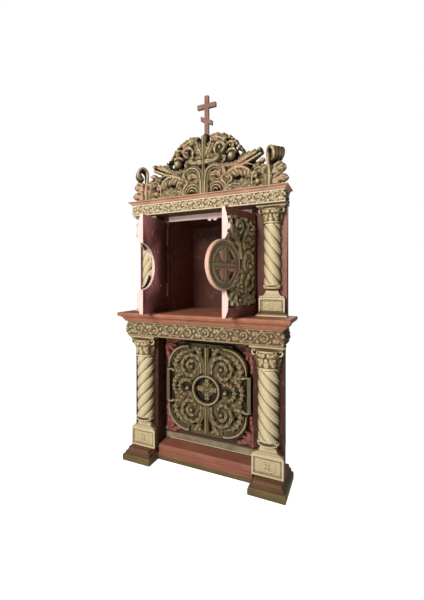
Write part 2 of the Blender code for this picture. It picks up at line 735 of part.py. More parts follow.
def door(side):
    """The left door has side -1; x runs from its hinge to its free edge."""
    low, high = DOOR_BOTTOM, DOOR_TOP
    first = 0.006
    middle = MEDALLION_Z
    turns = NOTCH_TURNS
    notch = NOTCH_RADIUS if side < 0 else MEDALLION_RADIUS + GAP
    rows = [low, low + 0.045, WAVE_HEIGHTS[0] - 0.035, WAVE_HEIGHTS[0] + 0.025]
    rows += [middle + notch * math.sin(math.pi * (i / turns - 0.5)) for i in range(turns + 1)]
    rows += [WAVE_HEIGHTS[1] - 0.025, WAVE_HEIGHTS[1] + 0.035, high - 0.045, high]
    columns = 6

    def edge(z):
        offset = abs(z - middle)
        if offset >= notch:
            return DOOR_WIDTH - DOOR_GAP
        return min(DOOR_WIDTH - DOOR_GAP, DOOR_WIDTH - math.sqrt(notch ** 2 - offset ** 2))

    def flat(u, v, y):
        z = rows[round(v * (len(rows) - 1))]
        reach = first + (edge(z) - first) * u
        return -side * reach, y, z

    def front(u, v):
        x, _, z = flat(u, v, 0)
        reach = abs(x)
        inside = min((z - low) / 0.05, (high - z) / 0.05, 1) if reach > DOOR_STILE else 0
        wave = sum(max(0, 1 - ((z - top) / WAVE_REACH) ** 2) for top in WAVE_HEIGHTS)
        swell = (0.006 + 0.020 * reach / DOOR_WIDTH) * wave
        whorl = 0.5 + 0.5 * math.cos(60 * reach) * math.cos(45 * (z - middle))
        depth = DOOR_THICKNESS + (swell + 0.008 * whorl) * max(0, inside)
        return x, -depth, z

    mesh = bmesh.new()
    relief(mesh, columns, len(rows) - 1, front, lambda u, v: flat(u, v, 0))
    return mesh


def medallion_ring():
    """The pierced disc's rim, on the free edge of the right door."""
    mesh = bmesh.new()
    ring(mesh, -DOOR_WIDTH, MEDALLION_Z, 0.096, MEDALLION_RADIUS, MEDALLION_FRONT, 0.0,
         2 * NOTCH_TURNS)
    return mesh


def medallion_cross():
    """Four flared arms in one outline, joined to the rim."""
    side = ((0.011, 0.011), (0.030, 0.013), (0.060, 0.027), (0.080, 0.034), (0.100, 0.030))
    outline = []
    for arm in range(4):
        turn = Matrix.Rotation(math.radians(90 * arm), 2)
        outline += [turn @ Vector((r, -w)) for r, w in side]
        outline += [turn @ Vector((r, w)) for r, w in reversed(side[1:])]
    mesh = bmesh.new()
    front = MEDALLION_FRONT + 0.004
    prism(mesh, [(x - DOOR_WIDTH, front, z + MEDALLION_Z) for x, z in outline],
          (0, -0.004 - front, 0))
    return mesh


def hinge(side, length):
    """A knuckle with a leaf on the frame, in plan round the hinge axis."""
    knuckle = 0.0045
    leaf_front, leaf_back = 0.0010, FRAME_FACE - HINGE_Y - GAP
    points = []
    for step in range(9):
        angle = math.radians(60 + 37.5 * step)
        points.append((knuckle * math.cos(angle), knuckle * math.sin(angle)))
    points = [(x, y) for x, y in points if x < 0.003]
    points += [(0.003, leaf_front), (0.020, leaf_front), (0.020, leaf_back), (0.003, leaf_back)]
    points = [(x, min(y, leaf_back)) for x, y in points]
    mesh = bmesh.new()
    prism(mesh, [(side * x, y, -length / 2) for x, y in points], (0, 0, length))
    return mesh


# Assembly, from the floor up
for side, word in ((-1, "left"), (1, "right")):
    piece(word + "_foot", foot(side), MAHOGANY)
    piece(word + "_lower_pilaster", lower_pilaster(side), MAHOGANY)
    piece(word + "_upper_pilaster", upper_pilaster(side), MAHOGANY)
    for column in (LOWER_COLUMN, UPPER_COLUMN):
        label = word + "_" + column.name
        place = (side * column.x, 0, 0)
        block = piece(label + "_pedestal", pedestal(column), CREAM, place)
        fuse(block, label + "_rosette_guide", rosette(column))
        piece(label + "_base", base(column), CREAM, place)
        piece(label + "_shaft", shaft(column, side), CREAM, place, smooth=True)
        cap = piece(label + "_capital", bell(column), CREAM, place)
        fuse(cap, label + "_leaves_guide", capital_leaves(column))
piece("plinth_rail", plinth_rail(), MAHOGANY)
box("lower_panel_board", (-CARCASS_HALF + BOARD + GAP, PANEL_FACE, 0.115),
    (CARCASS_HALF - BOARD - GAP, PANEL_FACE + 0.018, TABLE_BOTTOM - GAP), MAHOGANY)
carving = piece("lower_panel_carving", panel_carving(), OLIVE)
carve(carving, 0.008, 0.031)
trim(carving, "panel_back_guide", (-0.4, PANEL_FACE - GAP, 0.1), (0.4, PANEL_FACE + 0.1, 0.95))
for side, word in ((-1, "left"), (1, "right")):
    for up, end in ((-1, "bottom"), (1, "top")):
        leaves = piece("corner_leaves_%s_%s" % (end, word), corner_leaves(side, up), MAHOGANY)
        carve(leaves, 0.006, 0.05)
        trim(leaves, leaves.name + "_guide", (-0.4, PANEL_FACE - GAP, 0.1),
             (0.4, PANEL_FACE + 0.1, 0.95))
    inner, outer = sorted((side * (CARCASS_HALF - BOARD), side * CARCASS_HALF))
    piece(word + "_lower_side", lower_side(inner), MAHOGANY)
    box(word + "_upper_side", (inner, 0.1453, TABLE_TOP + GAP),
        (outer, CABINET_BACK - GAP, CORNICE_BOTTOM + 0.078 - GAP), MAHOGANY)
    inner, outer = sorted((side * OPENING_HALF, side * (OPENING_HALF + BOARD)))
    box(word + "_cabinet_wall", (inner, 0.1453, TABLE_TOP + GAP),
        (outer, CABINET_BACK - GAP, CORNICE_BOTTOM - GAP), MAHOGANY)
box("lower_back", (-CARCASS_HALF, BACK - BOARD, 0.02),
    (CARCASS_HALF, BACK, TABLE_BOTTOM - GAP), MAHOGANY)
box("upper_back", (-CARCASS_HALF, CABINET_BACK, TABLE_TOP + GAP),
    (CARCASS_HALF, CABINET_BACK + BOARD, CORNICE_BOTTOM + 0.078 - GAP), MAHOGANY)
box("cabinet_ceiling", (-OPENING_HALF + GAP, 0.1453, CORNICE_BOTTOM - GAP - BOARD),
    (OPENING_HALF - GAP, CABINET_BACK - GAP, CORNICE_BOTTOM - GAP), MAHOGANY)

frieze = band(0.545, -0.045, RETURN_BACK, FRIEZE_BOTTOM, TABLE_BOTTOM - GAP, 0.028, 0.014,
              0.005, 20, 4)
piece("lower_frieze", frieze, OLIVE)

table = bmesh.new()
stacked(table, around(0.566, -0.065, 0.470, TABLE_BACK),
        ((0, TABLE_BOTTOM), (0.002, TABLE_BOTTOM + 0.010), (0.010, TABLE_BOTTOM + 0.020),
         (0.026, TABLE_BOTTOM + 0.034), (0.037, TABLE_BOTTOM + 0.046),
         (0.039, TABLE_TOP - 0.004), (0.035, TABLE_TOP)))
piece("tabletop", table, MAHOGANY)


def valance():
    """The pale strip over the doors, with two small scallops beside the middle."""
    low, high = 1.706, CORNICE_BOTTOM - GAP
    half = OPENING_HALF - GAP
    points = [(-half, low), (-half, high), (half, high), (half, low)]
    for middle in (0.052, 0.012):
        for step in range(5):
            angle = math.pi * step / 4
            points.append((middle + 0.017 * math.cos(angle), low - 0.016 * math.sin(angle)))
    mesh = bmesh.new()
    prism(mesh, [(x, FRAME_FACE + 0.002, z) for x, z in points], (0, 0.014, 0))
    return mesh


piece("valance", valance(), PALE)
box("cornice_soffit", (-0.5285, 0.0303, CORNICE_BOTTOM + GAP),
    (0.5285, 0.1453, CORNICE_BOTTOM + 0.016), MAHOGANY)
cornice = band(0.553, 0.005, RETURN_BACK, CORNICE_BOTTOM + GAP, CORNICE_BOTTOM + 0.078 - GAP,
               0.024, 0.0, 0.004, 22, 4)
piece("cornice_frieze", cornice, OLIVE)

top = bmesh.new()
stacked(top, around(0.552, 0.002, 0.470, BACK - 0.005),
        ((0.004, 1.820), (0.006, 1.824), (0.014, 1.830), (0.022, 1.836), (0.025, 1.840),
         (0.022, CROWN_BOTTOM)))
piece("cornice_moulding", top, MAHOGANY)
crest = carve(piece("crown", crown(), OLIVE), 0.009, 0.044)
trim(crest, "crown_bottom_guide", (-0.7, -0.1, CROWN_BOTTOM - 0.05),
     (0.7, 0.2, CROWN_BOTTOM + GAP))
trim(crest, "crown_seat_guide", (-0.031, CROSS_FRONT - 0.0005, CROSS_BOTTOM),
     (0.031, CROSS_FRONT + CROSS_THICK + 0.0005, CROSS_BOTTOM + 0.05))
piece("cross", cross(), MAHOGANY)

# Doors on their hinge axes, standing open
for side, word, open_angle in ((-1, "left", -LEFT_OPEN), (1, "right", RIGHT_OPEN)):
    axis = empty(word + "_hinge_axis", (side * HINGE_X, HINGE_Y, 0), open_angle, ALTAR)
    piece(word + "_door", door(side), OLIVE, parent=axis)
    if side > 0:
        rim = piece("medallion", medallion_ring(), OLIVE, parent=axis)
        fuse(rim, "medallion_cross_guide", medallion_cross())
    for z, length, end in ((1.598, 0.132, "upper"), (1.206, 0.096, "lower")):
        piece("%s_%s_hinge" % (word, end), hinge(side, length), BRASS,
              (side * HINGE_X, HINGE_Y, z))
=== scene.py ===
"""The looks of a two-tiered carved wooden altar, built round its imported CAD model.

Lengths are metres in the frame's own axes: +Z up, front towards -Y. Depths are measured back
from the face of the lower pedestals with deep(), and carved heights stand out towards -Y.
"""
import json
import math

import bmesh
import bpy
import numpy as np
from mathutils import Matrix, Vector


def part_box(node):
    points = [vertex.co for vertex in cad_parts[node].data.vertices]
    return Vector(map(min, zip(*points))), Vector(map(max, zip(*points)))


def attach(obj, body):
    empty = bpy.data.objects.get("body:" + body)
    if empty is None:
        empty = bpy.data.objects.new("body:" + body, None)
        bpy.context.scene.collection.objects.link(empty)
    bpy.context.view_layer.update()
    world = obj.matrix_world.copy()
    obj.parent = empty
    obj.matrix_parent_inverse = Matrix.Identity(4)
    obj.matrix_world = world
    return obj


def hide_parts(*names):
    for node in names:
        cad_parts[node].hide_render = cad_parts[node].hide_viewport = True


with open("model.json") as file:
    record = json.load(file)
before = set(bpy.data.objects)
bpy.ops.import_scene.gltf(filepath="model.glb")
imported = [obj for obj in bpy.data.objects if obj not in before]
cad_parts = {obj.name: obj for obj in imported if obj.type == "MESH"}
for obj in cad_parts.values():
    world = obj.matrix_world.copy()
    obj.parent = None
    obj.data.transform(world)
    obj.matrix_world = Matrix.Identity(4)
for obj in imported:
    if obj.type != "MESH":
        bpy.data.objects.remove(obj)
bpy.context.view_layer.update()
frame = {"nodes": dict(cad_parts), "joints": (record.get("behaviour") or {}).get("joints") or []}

PANEL_DEPTH = 0.142


def deep(depth):
    """A y in the frame from a depth behind the lower pedestals' face."""
    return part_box("lower_panel_board")[0].y - PANEL_DEPTH + depth


# Boards of the carcass: sides, backs, cabinet walls and ceiling, pilasters and panel board.
# The real ones are mahogany-stained planks, glued and planed, with a worn satin lacquer. The
# lower pilasters, cabinet back and ceiling and panel board are darkened as painted shade, and
# the right upper pilaster is lightened as painted light.
class Value:
    """A shader value whose arithmetic adds the Math nodes for it."""

    def __init__(self, finish, socket):
        self.finish = finish
        self.socket = socket

    def math(self, operation, first, second):
        """A Math node on two values or numbers."""
        return self.finish.node("Math", {"operation": operation}, {0: first, 1: second})

    def __add__(self, other):
        return self.math("ADD", self, other)

    def __mul__(self, other):
        return self.math("MULTIPLY", self, other)

    def __sub__(self, other):
        return self.math("SUBTRACT", self, other)

    def __rsub__(self, other):
        return self.math("SUBTRACT", other, self)

    __radd__ = __add__
    __rmul__ = __mul__

    def clamp(self):
        """The value held between 0 and 1."""
        return self.math("MAXIMUM", self.math("MINIMUM", self, 1.0), 0.0)

    def step(self, low, high):
        """0 below low, 1 above high and smooth between."""
        return self.finish.node("MapRange", {"interpolation_type": "SMOOTHSTEP"},
                                {"Value": self, "From Min": low, "From Max": high})


class Finish:
    """A material with one Principled BSDF, and the nodes that drive it."""

    def __init__(self, name, **constants):
        self.material = bpy.data.materials.new(name)
        self.material.use_nodes = True
        self.tree = self.material.node_tree
        self.shader = self.tree.nodes["Principled BSDF"]
        for key, value in constants.items():
            self.shader.inputs[key.replace("_", " ")].default_value = value

    def node(self, kind, settings=None, sockets=None, output=0):
        """A node of a type, with its settings made first and then its sockets' values or links."""
        made = self.tree.nodes.new("ShaderNode" + kind)
        for name, setting in (settings or {}).items():
            setattr(made, name, setting)
        for key, value in (sockets or {}).items():
            self.feed(made.inputs[key], value)
        return Value(self, made.outputs[output])

    def feed(self, socket, value):
        """Link a value to a socket, or set the socket to a number or colour."""
        if isinstance(value, Value):
            self.tree.links.new(value.socket, socket)
        elif socket.type == "RGBA":
            socket.default_value = (*value, 1)
        else:
            socket.default_value = value

    def place(self, scale=(1, 1, 1)):
        """The object's own coordinates, scaled."""
        where = self.node("TexCoord", output="Object")
        return self.node("Mapping", None, {"Vector": where, "Scale": scale})

    def noise(self, size, detail, stretch=(1, 1, 1), rough=0.55):
        """A noise whose grains are about size across, between 0 and 1."""
        return self.node("TexNoise", None, {
            "Vector": self.place([1 / (size * part) for part in stretch]),
            "Scale": 1.0, "Detail": detail, "Roughness": rough})

    def mix(self, share, first, second):
        """A colour between two."""
        return self.node("Mix", {"data_type": "RGBA"}, {0: share, 6: first, 7: second}, 2)

    def attribute(self, name):
        """A number that is stored on the mesh."""
        return self.node("Attribute", {"attribute_name": name}, output="Fac")

    def finish(self, colour, roughness, height, strength=0.3, reach=0.001):
        """Join colour, roughness and relief to the shader."""
        self.feed(self.shader.inputs["Base Color"], colour)
        self.feed(self.shader.inputs["Roughness"], roughness)
        bump = self.node("Bump", None, {"Strength": strength, "Distance": reach,
                                        "Height": height})
        self.feed(self.shader.inputs["Normal"], bump)
        return self.material


def stained_wood(name, deep_colour, lit_colour, grain=(1, 1, 14), gloss=0.42, painted_shade_until=None):
    """Mahogany stain: fine grain along one axis, cloudy tone and rubbed lighter patches.

    The last argument, (from x, to x), is where painted shade gives way: short of it the wood
    keeps its deep colour as painted shade, beyond it it has its full colour.
    """
    wood = Finish(name, Specular_IOR_Level=0.15)
    lines = wood.noise(0.004, 3, grain)
    cloud = wood.noise(0.12, 3)
    rub = wood.noise(0.035, 5, (1, 1, 1.6)).step(0.50, 0.74)
    tone = (lines * 0.45 + cloud * 0.75 - 0.1).clamp()
    colour = wood.mix(tone, deep_colour, lit_colour)
    colour = wood.mix(rub * 0.22, colour, [0.10 + 0.95 * part for part in lit_colour])
    # Painted shade: short of the x range the wood keeps its deep colour.
    if painted_shade_until:
        place = wood.node("SeparateXYZ", None, {0: wood.place()}, "X")
        colour = wood.mix(place.step(*painted_shade_until), deep_colour, colour)
    return wood.finish(colour, gloss + 0.25 * lines, lines, 0.16, 0.0006)


ALONG = (14, 1, 1)
DEEP_MAHOGANY = (0.032, 0.010, 0.006)
LIT_MAHOGANY = (0.150, 0.050, 0.028)
UPRIGHT = stained_wood("mahogany_upright", DEEP_MAHOGANY, LIT_MAHOGANY)
LEVEL = stained_wood("mahogany_level", DEEP_MAHOGANY, LIT_MAHOGANY, ALONG)
# Painted light: a lighter copy of the stain for the right upper pilaster, in painted shade short
# of x 0.495.
PIER_PAINTED_LIGHT = stained_wood("mahogany_pier_lit", (0.075, 0.022, 0.014), (0.290, 0.125, 0.090),
                        painted_shade_until=(0.495, 0.540))
# Painted shade: a darker copy of the stain for the lower pilasters.
PIER_PAINTED_SHADE = stained_wood("mahogany_pier_dark", (0.012, 0.004, 0.003), (0.060, 0.018, 0.011))
# Painted shade: a darker copy of the stain for the cabinet back and ceiling.
BACK_PAINTED_SHADE = stained_wood("mahogany_back", (0.028, 0.008, 0.005), (0.090, 0.030, 0.019), gloss=0.5)
DARK = stained_wood("mahogany_inside", (0.085, 0.026, 0.017), (0.215, 0.076, 0.048), gloss=0.5)


def dress(node, paint):
    """Give a CAD node its material."""
    made = frame["nodes"][node]
    made.data.materials.clear()
    made.data.materials.append(paint)


# Painted shade on the lower pilasters, painted light on the right upper pilaster only.
for side in ("left", "right"):
    for board, paint in (("lower_side", UPRIGHT), ("upper_side", UPRIGHT),
                         ("lower_pilaster", PIER_PAINTED_SHADE), ("cabinet_wall", DARK),
                         ("upper_pilaster", PIER_PAINTED_LIGHT if side == "right" else UPRIGHT)):
        dress(side + "_" + board, paint)
for board, paint in (("lower_back", UPRIGHT), ("upper_back", BACK_PAINTED_SHADE),
                     ("cabinet_ceiling", BACK_PAINTED_SHADE), ("cornice_soffit", LEVEL)):
    dress(board, paint)


# Feet, plinth rail, tabletop and cornice moulding: stacked mouldings of solid mahogany, run
# with a plane and joined by mitres. The lowest step of the feet keeps the olive paint.
SAME_SPOT = 0.00002
SOFT_BELOW = math.radians(35)
EASED_ABOVE = math.radians(28)


def new_piece(name, mesh, paint):
    """Turn a bmesh into a piece of the carcass, with its faces outward and soft shading."""
    bmesh.ops.remove_doubles(mesh, verts=mesh.verts, dist=SAME_SPOT)
    bmesh.ops.recalc_face_normals(mesh, faces=mesh.faces)
    data = bpy.data.meshes.new(name)
    mesh.to_mesh(data)
    mesh.free()
    data.materials.append(paint)
    data.shade_smooth()
    data.set_sharp_from_angle(angle=SOFT_BELOW)
    made = bpy.data.objects.new(name, data)
    bpy.context.scene.collection.objects.link(made)
    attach(made, "carcass")
    return made


def stand_for(made, slot, *nodes):
    """The piece shows in place of CAD nodes, which it hides; slot is not used."""
    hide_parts(*nodes)


def eased(made, width, turns=2):
    """Break the sharp edges of a planed piece."""
    edge = made.modifiers.new("eased", "BEVEL")
    edge.width = width
    edge.segments = turns
    edge.limit_method = "ANGLE"
    edge.angle_limit = EASED_ABOVE


def stacked(mesh, outline, levels):
    """A moulding: outline(out) gives a plan outline, and levels lists (out, z) going up."""
    out, z = levels[0]
    bottom = top = mesh.faces.new([mesh.verts.new((x, y, z)) for x, y in outline(out)])
    corners = list(bottom.verts)
    for out, z in levels[1:]:
        before = [corner.co.copy() for corner in corners]
        grown = bmesh.ops.extrude_face_region(mesh, geom=[top])
        if top is not bottom:
            bmesh.ops.delete(mesh, geom=[top], context="FACES_ONLY")
        top = [item for item in grown["geom"] if isinstance(item, bmesh.types.BMFace)][0]
        corners = [min(top.verts, key=lambda vert: (vert.co - old).length) for old in before]
        for corner, (x, y) in zip(corners, outline(out)):
            corner.co = (x, y, z)
    return mesh


def hollow(start, end, bulge, turns):
    """Profile points from start to end along an arc that bows out by bulge times the chord."""
    a, b = Vector(start), Vector(end)
    across = Vector((b.y - a.y, a.x - b.x))
    return [tuple(a.lerp(b, step / turns) + across * bulge * math.sin(math.pi * step / turns))
            for step in range(turns + 1)]


def box_plan(low_x, high_x, front, back):
    """A plan rectangle whose front and sides grow."""
    return lambda out: ((low_x - out, front - out), (high_x + out, front - out),
                        (high_x + out, back), (low_x - out, back))


def winged_plan(half, front, back):
    """A plan with wide front wings: only the front and the wings' ends grow."""
    def outline(out):
        wide = half + out
        return ((-wide, front - out), (wide, front - out), (wide, RETURN_BACK),
                (BODY_HALF, RETURN_BACK), (BODY_HALF, back), (-BODY_HALF, back),
                (-BODY_HALF, RETURN_BACK), (-wide, RETURN_BACK))
    return outline


def painted_foot(name, top, deep_red, lit_red):
    """Mahogany above, and olive paint below the height top, worn at the edges."""
    paint = Finish(name, Specular_IOR_Level=0.15)
    height = paint.node("SeparateXYZ", None, {0: paint.place()}, "Z")
    cloud = paint.noise(0.06, 4, (3, 1, 1))
    lines = paint.noise(0.004, 3, ALONG)
    red = paint.mix((cloud * 0.7 + lines * 0.4).clamp(), deep_red, lit_red)
    olive = paint.mix(cloud, (0.034, 0.022, 0.008), (0.150, 0.104, 0.042))
    step = (height + lines * 0.002).step(top - 0.002, top + 0.003)
    return paint.finish(paint.mix(step, olive, red), 0.42 + 0.2 * lines, lines, 0.15, 0.0006)


RETURN_BACK = deep(0.15)
BODY_HALF = 0.470
FOOT_STEP, RAIL_STRIP = 0.050, 0.036
TABLE_EDGE, CORNICE_EDGE = 0.039, 0.025
FOOT_PAINT = painted_foot("foot_stain", 0.053, (0.035, 0.015, 0.007), (0.165, 0.078, 0.040))
RAIL_WOOD = painted_foot("rail_stain", RAIL_STRIP, (0.070, 0.022, 0.014), (0.300, 0.112, 0.070))
TOP_WOOD = stained_wood("mahogany_top", (0.130, 0.042, 0.023), (0.35, 0.140, 0.080), ALONG, 0.40)
CORNICE_WOOD = stained_wood("cornice_wood", (0.190, 0.085, 0.055), (0.50, 0.300, 0.210), ALONG,
                            0.5)
for side in ("left", "right"):
    low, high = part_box(side + "_foot")
    levels = [(-0.004, low.z), (-0.001, 0.002), (0, 0.006), (0, 0.036)]
    levels += hollow((0, 0.036), (-0.014, FOOT_STEP - 0.001), 0.2, 4)[1:]
    levels += [(-0.018, FOOT_STEP), (-0.018, 0.055), (-0.014, 0.058), (-0.014, 0.062)]
    levels += hollow((-0.014, 0.062), (-0.030, 0.084), -0.16, 5)[1:]
    levels += [(-0.030, high.z)]
    foot = new_piece(side + "_foot_moulding",
                     stacked(bmesh.new(), box_plan(low.x, high.x, low.y, high.y), levels),
                     FOOT_PAINT)
    eased(foot, 0.0015)
    stand_for(foot, "mahogany", side + "_foot")


def extruded(mesh, points, move):
    """A solid: the polygon through the points, pulled along the vector move."""
    face = mesh.faces.new([mesh.verts.new(point) for point in points])
    grown = bmesh.ops.extrude_face_region(mesh, geom=[face])
    bmesh.ops.translate(mesh, vec=move, verts=[item for item in grown["geom"]
                                               if isinstance(item, bmesh.types.BMVert)])
    return mesh


def slab(mesh, low_x, high_x, low_z, high_z, back, thick):
    """A plain board of a thickness, with its back at the y back."""
    extruded(mesh, ((low_x, back, low_z), (high_x, back, low_z), (high_x, back, high_z),
                    (low_x, back, high_z)), (0, -thick, 0))


rail_low, rail_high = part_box("plinth_rail")
rail_back = PANEL_DEPTH - 0.0003
profile = [(0.030, 0), (0.026, 0.003), (0.025, 0.008), (0.025, 0.038), (0.027, 0.041),
           (0.031, 0.042), (0.031, 0.047), (0.029, 0.050)]
profile += hollow((0.036, 0.056), (0.030, 0.074), 0.16, 4)
profile += hollow((0.032, 0.078), (0.036, 0.100), -0.12, 4)
profile += [(0.039, 0.106), (0.060, 0.108), (rail_back, 0.114), (rail_back, 0)]
rail = new_piece("plinth_moulding",
                 extruded(bmesh.new(), [(rail_low.x, deep(y), z) for y, z in profile],
                          (rail_high.x - rail_low.x, 0, 0)), RAIL_WOOD)
eased(rail, 0.001)
stand_for(rail, "mahogany", "plinth_rail")


def winged_top(node, name, edge, levels, paint, ease):
    """A top board with a moulded edge, from levels (out, height above its underside)."""
    low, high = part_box(node)
    made = new_piece(name, stacked(bmesh.new(), winged_plan(high.x - edge, low.y + edge, high.y),
                                   [(out, low.z + rise) for out, rise in levels]), paint)
    eased(made, ease)
    stand_for(made, "mahogany", node)


def thickness(node):
    """A CAD board's height."""
    low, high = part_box(node)
    return high.z - low.z


winged_top("tabletop", "tabletop_board", TABLE_EDGE,
           [(0, 0), (0.001, 0.007)] + hollow((0.005, 0.009), (0.030, 0.036), -0.14, 6)
           + [(0.035, 0.037), (0.035, 0.041)]
           + hollow((0.036, 0.042), (0.035, thickness("tabletop")), 0.25, 6), TOP_WOOD, 0.001)
winged_top("cornice_moulding", "cornice_mould", CORNICE_EDGE,
           [(0.004, 0), (0.004, 0.003)] + hollow((0.007, 0.004), (0.021, 0.017), -0.14, 5)
           + [(0.025, 0.018), (0.025, 0.022), (0.022, thickness("cornice_moulding"))],
           CORNICE_WOOD, 0.0008)


# Columns: flattened half columns of limewood, glued to the pilasters. Each has a panelled
# block, a skirted base, a rope-twist shaft and a leafy capital under aged cream paint.
def aged_paint(name, cut_glaze_and_shade, body, rubbed, blush=None, blush_share=0.0, red_side=None):
    """Painted carving: dark glaze and painted shade in the cuts, rubbed paint on what stands
    proud.

    blush is the red that shows through in patches, more of it beyond red_side, (from x, to x).
    """
    paint = Finish(name, Specular_IOR_Level=0.25)
    grime = paint.noise(0.02, 5)
    fine = paint.noise(0.0035, 3)
    wear = paint.attribute("wear") + (grime * 0.24 - 0.12) + (fine * 0.12 - 0.06)
    # The darkest colour fills the cuts: glaze, and painted shade where they lie deep.
    colour = paint.mix(wear.step(0.08, 0.50), cut_glaze_and_shade, body)
    colour = paint.mix(wear.step(0.52, 0.92), colour, rubbed)
    if blush:
        patch = paint.noise(0.11, 3)
        if red_side:
            across = paint.node("SeparateXYZ", None, {0: paint.place()}, "X")
            patch = patch + across.step(*red_side) * 0.14
        patch = patch.step(0.50, 0.66) * wear.step(0.3, 0.8) * blush_share
        colour = paint.mix(patch, colour, blush)
    return paint.finish(colour, 0.5 + 0.22 * grime, fine, 0.25, 0.0006)


# The first colour is the glaze and painted shade of the cuts.
CREAM_PAINT = aged_paint("cream_paint", (0.090, 0.056, 0.022), (0.38, 0.310, 0.180),
                         (0.56, 0.475, 0.310))
CELL = 0.004
CELLS_AROUND = 3
SMOOTHING_ROUNDS = 10


def weather(made, reach, depth):
    """Store on each vertex a value of wear and painted shade: 0 at the bottom of a deep cut, 1 on
    the proudest edges.

    It joins how far a vertex stands out of its smoothed surroundings, against reach, for the wear
    of proud edges, and how far it lies behind the frontmost surface close by, against depth, which
    darkens the cuts as painted shade.
    """
    data = made.data
    count = len(data.vertices)
    place = np.zeros(count * 3)
    data.vertices.foreach_get("co", place)
    place = place.reshape(-1, 3)
    edges = np.zeros(len(data.edges) * 2, int)
    data.edges.foreach_get("vertices", edges)
    a, b = edges.reshape(-1, 2).T
    share = np.bincount(a, minlength=count) + np.bincount(b, minlength=count)
    smooth = place.copy()
    for _ in range(SMOOTHING_ROUNDS):
        total = smooth.copy()
        for axis in range(3):
            total[:, axis] += np.bincount(a, smooth[b, axis], count)
            total[:, axis] += np.bincount(b, smooth[a, axis], count)
        smooth = total / (share + 1)[:, None]
    normal = np.zeros(count * 3)
    data.vertex_normals.foreach_get("vector", normal)
    ridge = ((place - smooth) * normal.reshape(-1, 3)).sum(1) / reach
    column, row = ((place[:, (0, 2)] - place[:, (0, 2)].min(0)) / CELL).astype(int).T
    front = np.full((column.max() + 1, row.max() + 1), 1e3)
    np.minimum.at(front, (column, row), place[:, 1])
    for _ in range(CELLS_AROUND):
        front[1:] = np.minimum(front[1:], front[:-1])
        front[:-1] = np.minimum(front[:-1], front[1:])
        front[:, 1:] = np.minimum(front[:, 1:], front[:, :-1])
        front[:, :-1] = np.minimum(front[:, :-1], front[:, 1:])
    # Painted shade: the further a vertex lies behind the front close by, the darker its paint.
    sunk = np.clip((place[:, 1] - front[column, row]) / depth, 0, 1)
    layer = data.attributes.new("wear", "FLOAT", "POINT")
    layer.data.foreach_set("value", np.clip(0.66 + 0.36 * np.clip(ridge, -1, 1)
                                            - 0.70 * sunk, 0, 1))


class Column:
    """Where one tier's columns stand, read from their CAD pieces."""

    def __init__(self, name, plate):
        self.name = name
        self.plate = plate
        shaft_low, shaft_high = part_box("right_%s_shaft" % name)
        block_low, block_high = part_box("right_%s_pedestal" % name)
        cap_low, cap_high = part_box("right_%s_capital" % name)
        self.x = (shaft_low.x + shaft_high.x) / 2
        self.radius = (shaft_high.x - shaft_low.x) / 2
        self.face = block_high.y
        self.front = shaft_low.y
        self.block_half = (block_high.x - block_low.x) / 2 - plate
        self.slab_half = cap_high.x - self.x
        self.levels = (block_low.z, block_high.z, shaft_low.z, shaft_high.z, cap_low.z, cap_high.z)

    def bulge(self, angle, radius):
        """A point of the flattened round, at an angle from the middle of the front."""
        depth = (self.face - self.front) * radius / self.radius
        return radius * math.sin(angle), self.face - depth * math.cos(angle)


TWIST_PITCH = 0.32
STRANDS = 4
ROPE_END = 0.010


def rope(column, side):
    """The shaft: strands with a rounded back and a fine line cut beside each groove."""
    low, high = column.levels[2:4]
    turn = -side * 2 * math.pi / TWIST_PITCH
    across, up = 72, 150
    mesh = bmesh.new()
    made = bmesh.ops.create_grid(mesh, x_segments=across, y_segments=up, size=0.5)
    for vert in made["verts"]:
        angle = math.pi * vert.co.x
        z = low + (high - low) * (vert.co.y + 0.5)
        strand = STRANDS * (angle - turn * (z - low)) / (2 * math.pi) % 1
        round_back = math.sin(math.pi * strand) ** 0.62
        line = sum(math.exp(-((strand - at) / 0.055) ** 2) for at in (0.36, 0.60))
        share = 0.78 + 0.22 * round_back - 0.040 * line
        end = min(1, (z - low) / ROPE_END, (high - z) / ROPE_END)
        if share > 0.88 and end < 1:
            share = 1 - 0.12 * (1 - end)
        x, y = column.bulge(angle, share * column.radius)
        vert.co = (x, y, z)
    grown = bmesh.ops.extrude_edge_only(mesh, edges=[edge for edge in mesh.edges
                                                     if edge.is_boundary])
    for item in grown["geom"]:
        if isinstance(item, bmesh.types.BMVert):
            item.co.y = column.face
    bmesh.ops.holes_fill(mesh, edges=[edge for edge in mesh.edges if edge.is_boundary])
    return mesh


def bead(mesh, place, radius):
    """One small round bead."""
    bmesh.ops.create_icosphere(mesh, subdivisions=2, radius=radius,
                               matrix=Matrix.Translation(place))


def cord_along(mesh, points, radius):
    """A thin raised line along points: circles joined by bridges."""
    spots = [Vector(point) for point in points]
    rings = []
    for step, spot in enumerate(spots):
        ahead = spots[min(step + 1, len(spots) - 1)] - spots[max(step - 1, 0)]
        turn = Vector((0, 1, 0)).cross(ahead).normalized()
        basis = Matrix((turn, (0, 1, 0), ahead.normalized())).transposed()
        made = bmesh.ops.create_circle(mesh, cap_ends=False, segments=6, radius=radius,
                                       matrix=Matrix.Translation(spot) @ basis.to_4x4())
        rings.append(list({edge for vert in made["verts"] for edge in vert.link_edges}))
    for near, far in zip(rings, rings[1:]):
        bmesh.ops.bridge_loops(mesh, edges=near + far)
    for ring in (rings[0], rings[-1]):
        bmesh.ops.holes_fill(mesh, edges=ring)


